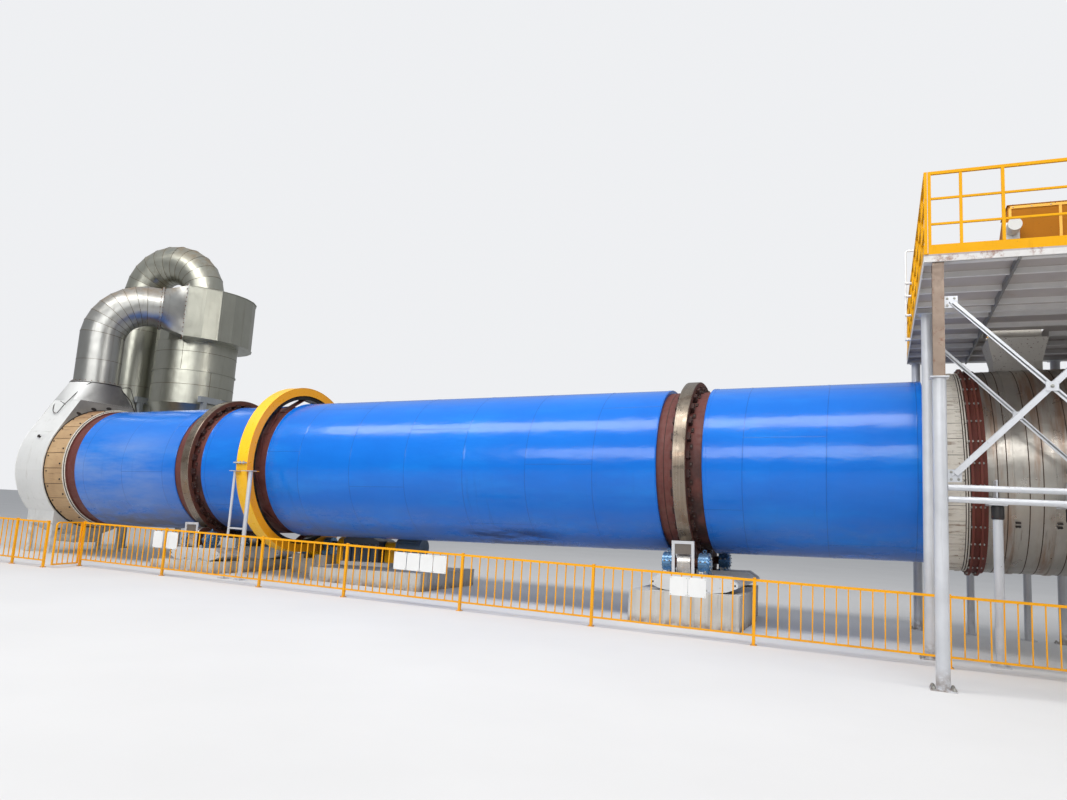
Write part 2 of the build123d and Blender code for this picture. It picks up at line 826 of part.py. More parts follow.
def wear_ring():
    return tube_along_x(wear_ring_from, wear_ring_to, wear_ring_radius, shell_radius + sheet_gap)


def leaf_seal():
    lip = tube_along_x(leaf_to - 30, leaf_to, leaf_bore + 1, wear_ring_radius + seal_gap)
    return tube_along_x(hood_face_x - 110, leaf_to, leaf_radius, leaf_bore) + lip


save("discharge_wear_ring", in_plane(wear_ring()))
save("discharge_leaf_seal", in_plane(leaf_seal()))


# Discharge hood
hood_axis_z = height_on_axis(hood_face_x)
hood_back_x = hood_face_x - hood_depth
neck_half = duct_radius + 60


def pear_outline(inset):
    """Round body with straight shoulders that rise to the neck, and a flat floor."""
    radius = hood_radius - inset
    half = neck_half - inset
    top = hood_top_z - hood_axis_z
    reach = hypot(half, top)
    turn = atan(top / half) - acos(radius / reach)
    touch = (radius * cos(turn), radius * sin(turn))
    floor = hood_floor_z + inset - hood_axis_z
    half_floor = sqrt(radius ** 2 - floor ** 2)
    flank = (radius * cos(0.5), -radius * sin(0.5))
    outline = (
        Line((half, top), touch)
        + ThreePointArc(touch, flank, (half_floor, floor))
        + Line((half_floor, floor), (-half_floor, floor))
        + ThreePointArc((-half_floor, floor), (-flank[0], flank[1]), (-touch[0], touch[1]))
        + Line((-touch[0], touch[1]), (-half, top))
        + Line((-half, top), (half, top))
    )
    return Pos(0, hood_axis_z) * make_face(outline)


def hood():
    """Welded box: pear-shaped front and back, a wrapper between them, a round throat, an outlet."""
    body = extrude(Plane.YZ.offset(hood_back_x) * pear_outline(0), hood_depth)
    inside = extrude(Plane.YZ.offset(hood_back_x + hood_sheet) * pear_outline(hood_sheet),
                     hood_depth - 2 * hood_sheet)
    body -= inside
    body -= in_plane(tube_along_x(hood_face_x - 200, hood_face_x + 200, leaf_radius + sheet_gap))
    x0 = riser_x - outlet_length / 2
    x1 = riser_x + outlet_length / 2
    y0 = -outlet_width / 2
    y1 = outlet_width / 2
    spout = block(x0, x1, y0, y1, hood_floor_z - outlet_drop, hood_floor_z + hood_sheet)
    body += spout
    spout_low = hood_floor_z - outlet_drop
    body += block(x0 - 60, x1 + 60, y0 - 60, y1 + 60, spout_low, spout_low + 16)
    body -= block(x0 + hood_sheet, x1 - hood_sheet, y0 + hood_sheet, y1 - hood_sheet,
                  spout_low - 1, hood_floor_z + hood_sheet + 1)
    return body


def hood_legs():
    """Four legs under the hood's floor, outside the outlet."""
    legs = []
    half = hood_leg / 2
    for x in (hood_back_x + half + 20, hood_face_x - half - 20):
        for y in (-1150.0, 1150.0):
            leg = block(x - half, x + half, y - half, y + half, 0, hood_floor_z)
            leg += block(x - half - 40, x + half + 40, y - half - 40, y + half + 40, 0, foot_plate)
            legs.append(leg)
    return legs


save("discharge_hood", hood() + hood_legs())


# Exhaust riser with a gored elbow, and the transition to the cyclone
duct_frame = Pos(riser_x, 0, 0) * Rot(0, 0, duct_bearing)
elbow_start_z = duct_axis_z - elbow_radius


def gored_path(centre, start_angle, turn, radius, gores):
    """Corner points of a mitred bend in the XZ plane, with half gores at its ends."""
    points = []
    step = turn / (gores - 1)
    for i in range(gores - 1):
        angle = radians(start_angle + (i + 0.5) * step)
        mitre = radius / cos(radians(step / 2))
        points.append((centre[0] + mitre * cos(angle), 0, centre[1] + mitre * sin(angle)))
    return points


def mitred_duct(points, radius):
    path = Polyline(*points)
    section = Plane(origin=points[0], z_dir=path % 0) * Circle(radius)
    return sweep(section, path=path, transition=Transition.RIGHT)


def exhaust_riser():
    corners = gored_path((elbow_radius, elbow_start_z), 180, -90, elbow_radius, elbow_gores)
    points = [(0, 0, hood_top_z)] + corners + [(flange_reach, 0, duct_axis_z)]
    duct = mitred_duct(points, duct_radius)
    rim = duct_radius + duct_flange
    duct += tube_along_z(0, 0, hood_top_z, hood_top_z + duct_flange_thickness, rim)
    duct += Pos(0, 0, duct_axis_z) * tube_along_x(flange_reach - duct_flange_thickness, flange_reach, rim)
    return duct_frame * duct


def inlet_transition():
    """Round to rectangular piece, with its round flange and the cyclone's bolted frame."""
    start = flange_reach + sheet_gap
    skin = loft([
        Plane.YZ.offset(start) * Circle(duct_radius),
        Plane.YZ.offset(inlet_reach) * Rectangle(inlet_width, inlet_height),
    ])
    skin += tube_along_x(start, start + duct_flange_thickness, duct_radius + duct_flange)
    half_y = inlet_width / 2 + duct_flange
    half_z = inlet_height / 2 + duct_flange
    skin += block(inlet_reach - duct_flange_thickness, inlet_reach, -half_y, half_y, -half_z, half_z)
    return duct_frame * Pos(0, 0, duct_axis_z) * skin


save("exhaust_riser", exhaust_riser())
save("inlet_transition", inlet_transition())


# Cyclone: scroll head, barrel, cone, outlet bend
cyclone_frame = duct_frame * Pos(inlet_reach + scroll_lead, cyclone_radius + inlet_width / 2, 0)
scroll_low = duct_axis_z - inlet_height / 2
scroll_high = duct_axis_z + inlet_height / 2


def scroll_outline(extra):
    """Plan of the head: a straight lead, then a spiral that closes on the barrel."""
    mouth = -scroll_lead + sheet_gap
    points = [(mouth, -cyclone_radius - inlet_width - extra)]
    steps = 18
    for i in range(steps + 1):
        turn = i * scroll_turn / steps
        radius = cyclone_radius + inlet_width * (1 - turn / scroll_turn) + extra
        points.append((radius * sin(radians(turn)), -radius * cos(radians(turn))))
    end = 360 + degrees(asin(mouth / (cyclone_radius + extra)))
    for i in range(1, 4):
        turn = radians(scroll_turn + i * (end - scroll_turn) / 3)
        points.append(((cyclone_radius + extra) * sin(turn), -(cyclone_radius + extra) * cos(turn)))
    return make_face(Polyline(*points, close=True))


def cyclone_head():
    """Scroll between a top and a bottom plate that stand out all round."""
    head = extrude(Plane.XY.offset(scroll_low) * scroll_outline(0), inlet_height)
    head += extrude(Plane.XY.offset(scroll_high) * scroll_outline(scroll_rim), scroll_plate)
    head += extrude(Plane.XY.offset(scroll_low - scroll_plate) * scroll_outline(scroll_rim), scroll_plate)
    return head


centre = (cyclone_frame * Vertex(0, 0, 0)).center()
outlet_frame = Pos(centre.X, centre.Y, 0) * Rot(0, 0, outlet_bearing)


def cyclone_body():
    """Barrel and cone, with stiffener rings and the two lugs that sit on the stand."""
    low = barrel_bottom_z
    body = tube_along_z(0, 0, low, scroll_low - scroll_plate - sheet_gap, cyclone_radius)
    body += tube_along_z(0, 0, stiffener_z, stiffener_z + 30, cyclone_radius + 35)
    body += tube_along_z(0, 0, low, low + 40, cyclone_radius + 30)
    height = low - cone_bottom_z
    body += Pos(0, 0, cone_bottom_z + height / 2) * Cone(cone_end_radius, cyclone_radius, height)
    body += tube_along_z(0, 0, cone_bottom_z - 60, cone_bottom_z, cone_end_radius + 70)
    reach = stand_spread + stand_beam / 2
    body += block(-reach, reach, -150, 150, lug_z, lug_z + lug_plate)
    return Pos(centre.X, centre.Y, 0) * body


def outlet_duct():
    """Pipe up out of the head, over in a gored U bend and down to a flange near the ground."""
    corners = gored_path((outlet_bend_radius, outlet_bend_z), 180, -180, outlet_bend_radius, bend_gores)
    foot = (outlet_bend_radius * 2, 0, downcomer_bottom_z)
    duct = mitred_duct([(0, 0, scroll_high + scroll_plate + sheet_gap)] + corners + [foot], outlet_radius)
    flange = tube_along_z(foot[0], 0, foot[2], foot[2] + duct_flange_thickness, out_flange_radius)
    for i in range(out_bolts):
        turn = radians((i + 0.5) * 360 / out_bolts)
        x = foot[0] + out_bolt_circle / 2 * cos(turn)
        y = out_bolt_circle / 2 * sin(turn)
        flange -= tube_along_z(x, y, foot[2] - 1, foot[2] + duct_flange_thickness + 1, out_bolt_radius)
    return outlet_frame * (duct + flange)


def cyclone_stand():
    """Two portal frames beside the cyclone, tied at the back, clear of the drum."""
    beam_top = lug_z - sheet_gap
    frames = None
    half = stand_post / 2
    for side in (-1, 1):
        x = centre.X + side * stand_spread
        frame = block(x - half, x + half, stand_front_y - 200, stand_back_y + half,
                      beam_top - stand_beam, beam_top)
        for y in (stand_front_y, stand_back_y):
            frame += block(x - half, x + half, y - half, y + half, 0, beam_top - stand_beam)
            frame += block(x - half * 2, x + half * 2, y - half * 2, y + half * 2, 0, foot_plate)
        frames = frame if frames is None else frames + frame
    for z in (1500.0, beam_top - stand_beam):
        frames += block(centre.X - stand_spread, centre.X + stand_spread,
                        stand_back_y - half, stand_back_y + half, z, z + stand_post)
    return frames


def downcomer_collar(z):
    """Collar round the downcomer with an arm to the stand's post."""
    foot = (outlet_frame * Vertex(outlet_bend_radius * 2, 0, 0)).center()
    collar = tube_along_z(foot.X, foot.Y, z, z + collar_height, outlet_radius + collar_thickness)
    collar += block(foot.X, centre.X - stand_spread, stand_front_y - collar_thickness,
                    stand_front_y + collar_thickness, z, z + collar_height)
    return collar - tube_along_z(foot.X, foot.Y, z - 1, z + collar_height + 1, outlet_radius + sheet_gap)


save("cyclone_head", cyclone_frame * cyclone_head())
save("cyclone_body", cyclone_body())
save("outlet_duct", outlet_duct())
save("cyclone_stand", cyclone_stand() + [downcomer_collar(z) for z in collars_z])


# Feed seal and bolted flange ring
def feed_seal():
    """Sleeve of overlapping leaves, closed by a lip that runs clear of the drum shell."""
    inner = feed_seal_radius - feed_seal_sheet
    sleeve_part = tube_along_x(feed_seal_from, feed_seal_to, feed_seal_radius, inner)
    lip = tube_along_x(feed_seal_from, feed_seal_from + 16, feed_seal_radius - 1, shell_radius + seal_gap)
    return sleeve_part + lip


def flange_ring():
    start = feed_seal_to + sheet_gap
    ring = tube_along_x(start, flange_ring_to, flange_ring_web_radius, shell_radius + 60)
    ring += tube_along_x(start, start + flange_ring_plate, flange_ring_radius, shell_radius + 60)
    ring += tube_along_x(flange_ring_to - flange_ring_plate, flange_ring_to, flange_ring_radius,
                         shell_radius + 60)
    return ring


def throat_ring():
    return tube_along_x(flange_ring_to + sheet_gap, dark_ring_to, dark_ring_radius, shell_radius + 60)


save("feed_leaf_seal", in_plane(feed_seal()))
save("feed_flange_rings", in_plane(flange_ring()), in_plane(throat_ring()))


# Hot-air chamber
chamber_from = dark_ring_to + sheet_gap
chamber_bore = chamber_radius - chamber_lining


def chute_cut(clearance):
    """Upright hole for the spout."""
    half_x = chute_length / 2 + clearance
    half_y = chute_width / 2 + clearance
    return block(chute_x - half_x, chute_x + half_x, -half_y, half_y, height_on_axis(chute_x), hopper_high_z)


def chamber_shell():
    """Lined shell with raised bands, and the hole for the chute's spout in its crown."""
    shell = tube_along_x(chamber_from, chamber_to, chamber_radius, chamber_bore)
    for at in chamber_bands_at:
        shell += tube_along_x(at, at + chamber_band_width, chamber_radius + chamber_band, chamber_bore + 1)
    return in_plane(shell) - chute_cut(sheet_gap)


def chamber_end():
    """End wall with the burner neck and its bolted flange."""
    start = chamber_to + sheet_gap
    neck_end = start + end_plate + burner_neck_length
    wall = tube_along_x(start, start + end_plate, chamber_radius + chamber_band)
    wall += tube_along_x(start + end_plate, neck_end, burner_neck_radius)
    wall += tube_along_x(neck_end - burner_flange, neck_end, burner_flange_radius)
    wall -= tube_along_x(start - 1, neck_end + 1, burner_neck_radius - burner_wall)
    for i in range(burner_bolts):
        turn = radians((i + 0.5) * 360 / burner_bolts)
        y = burner_bolt_circle / 2 * cos(turn)
        z = burner_bolt_circle / 2 * sin(turn)
        wall -= Pos(0, y, z) * tube_along_x(neck_end - burner_flange - 1, neck_end + 1, burner_bolt_radius)
    return wall


def chamber_leg(x, side):
    """Tube leg with a shelf of plate that carries the chamber's side."""
    y = side * chamber_leg_reach
    leg = tube_along_z(x, y, 0, leg_shelf_z, chamber_leg_radius)
    half = chamber_leg_radius + 60
    leg += block(x - half, x + half, y - half, y + half, 0, foot_plate)
    low, high = sorted((side * 1500.0, y + side * half))
    shelf = block(x - half, x + half, low, high, leg_shelf_z - 1, leg_shelf_z + leg_shelf)
    rib = block(x - 12, x + 12, *sorted((side * 1500.0, y)), leg_shelf_z, leg_shelf_z + leg_shelf_width)
    leg += shelf + rib
    leg -= in_plane(tube_along_x(feed_seal_to, chamber_from, flange_ring_radius + end_clearance))
    leg -= in_plane(tube_along_x(chamber_from - 10, chamber_to, chamber_radius + sheet_gap))
    for at in chamber_bands_at:
        slot = tube_along_x(at - end_clearance, at + chamber_band_width + end_clearance,
                            chamber_radius + chamber_band + sheet_gap)
        leg -= in_plane(slot)
    return leg


save("chamber_shell", chamber_shell())
save("chamber_end_wall", in_plane(chamber_end()))
save("chamber_legs", *[chamber_leg(x, side) for x in chamber_legs_x for side in (-1, 1)])


# Feed chute: drop pipe, hopper and spout in one welded piece
def rectangle_at(z, length, width):
    return Plane.XY.offset(z) * Pos(chute_x, 0) * Rectangle(length, width)


def chute_solid(inset):
    """Outer form for inset 0; with the sheet as inset, the space inside."""
    over = 1.0 if inset else 0.0
    cut = 2 * inset
    lid = hopper_high_z - inset
    spout = extrude(rectangle_at(spout_low_z - over, chute_length - cut, chute_width - cut),
                    hopper_low_z - spout_low_z + over)
    hopper = loft([rectangle_at(hopper_low_z, chute_length - cut, chute_width - cut),
                   rectangle_at(lid, hopper_length - cut, hopper_width - cut)])
    drop = extrude(rectangle_at(lid, chute_length - cut, chute_width - cut),
                   conveyor_bottom_z - sheet_gap - lid + over)
    return spout + hopper + drop


save("feed_chute", chute_solid(0) - chute_solid(chute_sheet))


# Feed platform
deck_under = deck_z - deck_plate
beam_under = deck_z - deck_edge


def column(x, y, front):
    """Tube column with foot and cap plates; in the front row an H stub goes on up to the deck."""
    top = stub_from_z if front else beam_under - sheet_gap
    half = column_foot / 2
    post = tube_along_z(x, y, 0, top, column_radius)
    post += block(x - half, x + half, y - half, y + half, 0, foot_plate)
    cap = column_radius + 30
    post += block(x - cap, x + cap, y - cap, y + cap, top - foot_plate, top)
    if front:
        half = stub_size / 2
        high = beam_under - sheet_gap
        for edge in (-half, half - stub_plate):
            post += block(x - half, x + half, y + edge, y + edge + stub_plate, top, high)
        post += block(x - stub_plate / 2, x + stub_plate / 2, y - half, y + half, top, high)
    return post


def deck():
    """Plate on a frame of edge beams and joists, with the opening for the chute."""
    plate = block(deck_left_x, deck_right_x, deck_front_y, deck_back_y, deck_under, deck_z)
    for y in (deck_front_y, deck_back_y - deck_edge_plate):
        plate += block(deck_left_x, deck_right_x, y, y + deck_edge_plate, beam_under, deck_under)
    for x in (deck_left_x, deck_right_x - deck_edge_plate):
        plate += block(x, x + deck_edge_plate, deck_front_y, deck_back_y, beam_under, deck_under)
    for y in column_rows_y:
        plate += block(deck_left_x, deck_right_x, y - joist_plate, y + joist_plate, beam_under, deck_under)
    pitch = (deck_back_y - deck_front_y) / (joist_count + 1)
    for i in range(joist_count):
        y = deck_front_y + (i + 1) * pitch
        plate += block(deck_left_x, deck_right_x, y - joist_plate / 2, y + joist_plate / 2,
                       deck_under - joist_height, deck_under)
    gap = 40.0
    plate -= block(chute_x - chute_length / 2 - gap, chute_x + chute_length / 2 + gap,
                   -chute_width / 2 - gap, chute_width / 2 + gap, beam_under - 1, deck_z + 1)
    plate -= block(chute_x - hopper_length / 2 - gap, chute_x + hopper_length / 2 + gap,
                   -hopper_width / 2 - gap, hopper_width / 2 + gap, beam_under - 1, deck_under)
    return plate


def railing(start, end, posts):
    """Straight run of railing between two deck corners, with posts, rails and a toe board."""
    run = Vector(*end) - Vector(*start)
    length = run.length
    half = rail_bar / 2
    flat = block(0, length, -half, half, rail_height - rail_bar, rail_height)
    for z in rail_middles:
        flat += block(0, length, -half * 0.7, half * 0.7, z - half, z + half * 0.4)
    for i in range(posts):
        x = half + i * (length - rail_bar) / (posts - 1)
        flat += block(x - half, x + half, -half, half, 0, rail_height - rail_bar)
    flat += block(0, length, half, half + toe_plate, 0, toe_height)
    turn = degrees(atan(run.Y / run.X)) if run.X else (90.0 if run.Y > 0 else -90.0)
    return Pos(start[0], start[1], deck_z) * Rot(0, 0, turn + (180 if run.X < 0 else 0)) * flat


rail_left = deck_left_x + rail_inset
rail_right = deck_right_x - rail_inset
rail_front = deck_front_y + rail_inset
rail_back = deck_back_y - rail_inset
corner = rail_bar / 2 + toe_plate + sheet_gap
columns = [column(x, y, y == column_rows_y[0]) for y in column_rows_y for x in column_lines_x]
save("platform_columns", *columns)
save("platform_deck", deck())
save(
    "platform_railings",
    railing((rail_right - corner, rail_front), (rail_left + corner, rail_front), rail_posts_front),
    railing((rail_left + corner, rail_back), (rail_right - corner, rail_back), rail_posts_front),
    railing((rail_left, rail_front - rail_bar / 2), (rail_left, rail_back + rail_bar / 2), rail_posts_side),
    railing((rail_right, rail_back + rail_bar / 2), (rail_right, rail_front - rail_bar / 2), rail_posts_side),
)


def brace_panel(x0, x1, y):
    """Crossed flat bars between two columns, on gusset plates, with a pair of tie tubes below."""
    inner0 = x0 + column_radius + sheet_gap
    inner1 = x1 - column_radius - sheet_gap
    half = gusset / 2
    low = (inner0 + half * 0.6, y, brace_low_z)
    high = (inner1 - half * 0.6, y, brace_high_z)
    panel = bar(low, high, brace_plate, brace_bar) + bar(
        (high[0], y, brace_low_z), (low[0], y, brace_high_z), brace_plate, brace_bar)
    thick = brace_plate / 2
    for z in (brace_low_z, brace_high_z):
        grip = stub_size / 2 if z > stub_from_z and y == column_rows_y[0] else column_radius
        panel += block(x0 + grip + sheet_gap, x0 + grip + gusset, y - thick, y + thick, z - half, z + half)
        panel += block(x1 - grip - gusset, x1 - grip - sheet_gap, y - thick, y + thick, z - half, z + half)
    return panel


def tie_tube_piece(x0, x1, y, z):
    start = x0 + column_radius + sheet_gap
    return Pos(0, y, z) * tube_along_x(start, x1 - column_radius - sheet_gap, tie_tube)


braces = []
ties = []
for x0, x1 in zip(column_lines_x, column_lines_x[1:]):
    for y in column_rows_y[:2]:
        braces.append(brace_panel(x0, x1, y))
    for z in tie_tubes_z:
        ties.append(tie_tube_piece(x0, x1, column_rows_y[0], z))
save("platform_bracing", *braces, *ties)


# Conveyor head above the chute
def conveyor_head():
    """Closed casing with a slanted nose, on two trestles."""
    side_view = Polyline(
        (conveyor_from_x - conveyor_slant, conveyor_bottom_z), (conveyor_to_x, conveyor_bottom_z),
        (conveyor_to_x, conveyor_top_z), (conveyor_from_x, conveyor_top_z), close=True,
    )
    head = extrude(Plane.XZ * make_face(side_view), conveyor_half_width, both=True)
    lid = conveyor_half_width + 25
    head += block(conveyor_from_x - 20, conveyor_to_x, -lid, lid, conveyor_top_z, conveyor_top_z + 12)
    half = conveyor_post / 2
    for x in conveyor_posts_x:
        for side in (-1, 1):
            y = side * (conveyor_half_width - half)
            head += block(x - half, x + half, y - half, y + half, deck_z + sheet_gap, conveyor_bottom_z)
        head += block(x - half, x + half, -conveyor_half_width, conveyor_half_width,
                      conveyor_bottom_z - 650, conveyor_bottom_z - 570)
    return head


def conveyor_motor():
    y = -conveyor_half_width - 30
    body = Pos(conveyor_from_x + 60, y, conveyor_bottom_z + 330) * Rot(0, 0, -90) * tube_along_x(0, 330, 120)
    body += block(conveyor_from_x - 60, conveyor_from_x + 180, y, -conveyor_half_width - sheet_gap,
                  conveyor_bottom_z + 150, conveyor_bottom_z + 480)
    return body


save("conveyor_head", conveyor_head())
save("conveyor_motor", conveyor_motor())


# Fence
def fence_panel(length):
    """Rails with square balusters, from x 0 to its length."""
    half = fence_rail / 2
    thin = baluster / 2
    panel = block(0, length, -half, half, fence_height - fence_rail, fence_height)
    panel += block(0, length, -half * 0.8, half * 0.8, fence_low_rail_z, fence_low_rail_z + fence_rail * 0.8)
    count = round(length / baluster_pitch)
    pitch = length / count
    for i in range(1, count):
        x = i * pitch
        panel += block(x - thin, x + thin, -thin, thin, fence_low_rail_z, fence_height - fence_rail)
    return panel


def fence_post_piece():
    half = fence_post / 2
    post = block(-half, half, -half, half, 0, fence_height + 10)
    return post + block(-half * 2, half * 2, -half * 2, half * 2, 0, 10)


def fence_bay(x0, x1, y):
    """One bay with the post at its right end."""
    start = x0 + fence_post / 2 + sheet_gap
    panel = Pos(start, y, 0) * fence_panel(x1 - start)
    return panel + Pos(x1, y, 0) * fence_post_piece()


def gate_leaf():
    """Closed frame with rounded upper outer corner, on a hinge tube round the post's pin."""
    bar_size = fence_rail * 0.9
    outline = Polyline((0, 0), (gate_width, 0), (gate_width, fence_height), (0, fence_height), close=True)
    plate = make_face(outline)
    plate = fillet(plate.vertices().group_by(Axis.X)[-1].sort_by(Axis.Y)[-1], 110)
    inner = offset(plate, -bar_size)
    frame = extrude(Plane.XZ * (plate - inner), bar_size / 2, both=True)
    count = round(gate_width / baluster_pitch)
    thin = baluster / 2
    for i in range(1, count):
        x = i * gate_width / count
        frame += block(x - thin, x + thin, -thin, thin, bar_size / 2, fence_height - bar_size / 2)
    return frame


gate_hinge_x = gate_post_x - fence_post / 2 - 30
gate_low = 60.0
gate_knuckle = 22.0
gate_knuckles_z = (300.0, 900.0)


def hinged_leaf():
    """The leaf with its knuckles, ajar across the step between the two lines of the fence."""
    shorter = (fence_height - gate_low) / fence_height
    leaf = Pos(gate_knuckle + 10, 0, gate_low) * scale(gate_leaf(), by=(1, 1, shorter))
    for z in gate_knuckles_z:
        leaf += tube_along_z(0, 0, z, z + 60, gate_knuckle)
        leaf += block(0, gate_knuckle + 20, -6, 6, z, z + 60)
        leaf -= tube_along_z(0, 0, z - 1, z + 61, hinge_pin + shaft_clearance)
    return Pos(gate_hinge_x, fence_y, 0) * Rot(0, 0, 180 + gate_turn) * leaf


def gate_post():
    """Post with the pins that carry the leaf."""
    post = Pos(gate_post_x, fence_y, 0) * fence_post_piece()
    for z in gate_knuckles_z:
        post += tube_along_z(gate_hinge_x, fence_y, z - 30, z + 55, hinge_pin)
        post += block(gate_hinge_x - hinge_pin, gate_post_x, fence_y - hinge_pin, fence_y + hinge_pin,
                      z - 30, z - 1)
    return post


stops = (gate_post_x,) + fence_posts_x
bays = [fence_bay(x0, x1, fence_y) for x0, x1 in zip(stops, stops[1:])]
left_y = fence_y - gate_knuckle - 10 - gate_width - gate_shut_gap - fence_post / 2
left_stops = left_posts_x + (gate_hinge_x,)
left_bays = [fence_bay(x0, x1, left_y) for x0, x1 in zip(left_stops, left_stops[1:])]
end_post = Pos(left_posts_x[0], left_y, 0) * fence_post_piece()
save("walkway_fence", *bays, *left_bays, end_post, gate_post())
save("gate_leaf", hinged_leaf())
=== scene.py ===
import math

import bmesh
import bpy
from mathutils import Matrix, Vector


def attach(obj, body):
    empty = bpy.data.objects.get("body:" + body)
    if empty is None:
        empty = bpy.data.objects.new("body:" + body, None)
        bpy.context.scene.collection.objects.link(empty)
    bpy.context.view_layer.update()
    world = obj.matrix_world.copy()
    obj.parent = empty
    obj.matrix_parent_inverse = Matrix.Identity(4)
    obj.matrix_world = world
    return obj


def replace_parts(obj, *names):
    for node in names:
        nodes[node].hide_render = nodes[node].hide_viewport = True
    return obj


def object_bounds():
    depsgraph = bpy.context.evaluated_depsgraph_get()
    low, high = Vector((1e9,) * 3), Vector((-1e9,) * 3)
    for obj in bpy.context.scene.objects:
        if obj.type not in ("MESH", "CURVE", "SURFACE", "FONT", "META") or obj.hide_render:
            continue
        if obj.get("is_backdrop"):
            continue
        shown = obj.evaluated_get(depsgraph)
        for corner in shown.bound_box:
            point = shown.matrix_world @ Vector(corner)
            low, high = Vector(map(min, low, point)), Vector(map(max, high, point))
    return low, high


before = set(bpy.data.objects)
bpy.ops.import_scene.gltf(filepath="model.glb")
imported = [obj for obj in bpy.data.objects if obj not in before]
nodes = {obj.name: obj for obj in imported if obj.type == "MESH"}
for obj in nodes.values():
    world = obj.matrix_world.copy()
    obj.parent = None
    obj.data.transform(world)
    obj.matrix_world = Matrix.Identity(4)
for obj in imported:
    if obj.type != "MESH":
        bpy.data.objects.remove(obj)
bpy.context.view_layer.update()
scene = bpy.context.scene

# The drum's axis, in metres: it rises by SLOPE towards +X and is AXIS_Z high at x = 0.
SLOPE = 0.03
SLANT = math.hypot(1, SLOPE)
AXIS_Z = 3.12
DRUM = Matrix.Translation((0, 0, AXIS_Z)) @ Matrix.Rotation(-math.atan(SLOPE), 4, "Y")

# Rollers: distance of their axes from the drum's, and their places beside and below it
ROLLER_REACH = 2.2403
ROLLER_Y = ROLLER_REACH * math.sin(math.radians(30))
ROLLER_Z = -ROLLER_REACH * math.cos(math.radians(30))
ROLLER_EDGE = 0.316
RING_EDGE = 1.914

# Sheets of the lagging: their length along the drum, and where the first seam is
SHEET = 1.52
FIRST_SEAM = -0.32

# Camera, as solved from the photograph
EYE = Vector((3.6, -17.3, 1.99))
YAW = math.radians(23.76)
PITCH = math.radians(8.11)
ROLL = math.radians(3.40)
LENS_MM = 26.74


def place_camera():
    forward = Vector((-math.sin(YAW) * math.cos(PITCH), math.cos(YAW) * math.cos(PITCH), math.sin(PITCH)))
    level = Vector((math.cos(YAW), math.sin(YAW), 0))
    upright = level.cross(forward)
    right = level * math.cos(ROLL) + upright * math.sin(ROLL)
    up = upright * math.cos(ROLL) - level * math.sin(ROLL)
    data = bpy.data.cameras.new("camera")
    data.sensor_width = 36.0
    data.lens = LENS_MM
    data.clip_end = 400.0
    camera = bpy.data.objects.new("camera", data)
    camera.matrix_world = Matrix.Translation(EYE) @ Matrix((right, up, -forward)).transposed().to_4x4()
    scene.collection.objects.link(camera)
    scene.camera = camera


place_camera()
scene.view_settings.view_transform = "Standard"

# Materials, by name
LOOK = {}


def srgb(r, g, b):
    """Linear colour of an 8-bit screen colour."""
    return tuple(((v / 255 + 0.055) / 1.055) ** 2.4 if v > 10 else v / 255 / 12.92 for v in (r, g, b))


def scaled(colour, factor):
    return tuple(min(1.0, v * factor) for v in colour)


class Nodes:
    """Node tree of a material or a world, emptied first."""

    def __init__(self, owner):
        owner.use_nodes = True
        self.tree = owner.node_tree
        self.tree.nodes.clear()

    def node(self, kind, *values, **settings):
        """New node with its settings, and with its first sockets filled in order."""
        made = self.tree.nodes.new("ShaderNode" + kind)
        for key, setting in settings.items():
            setattr(made, key, setting)
        for key, value in enumerate(values):
            self.put(made, key, value)
        return made

    def put(self, node, key, value):
        socket = node.inputs[key]
        if isinstance(value, bpy.types.NodeSocket):
            self.tree.links.new(value, socket)
        elif socket.type == "RGBA":
            socket.default_value = (*value, 1.0)
        else:
            socket.default_value = value


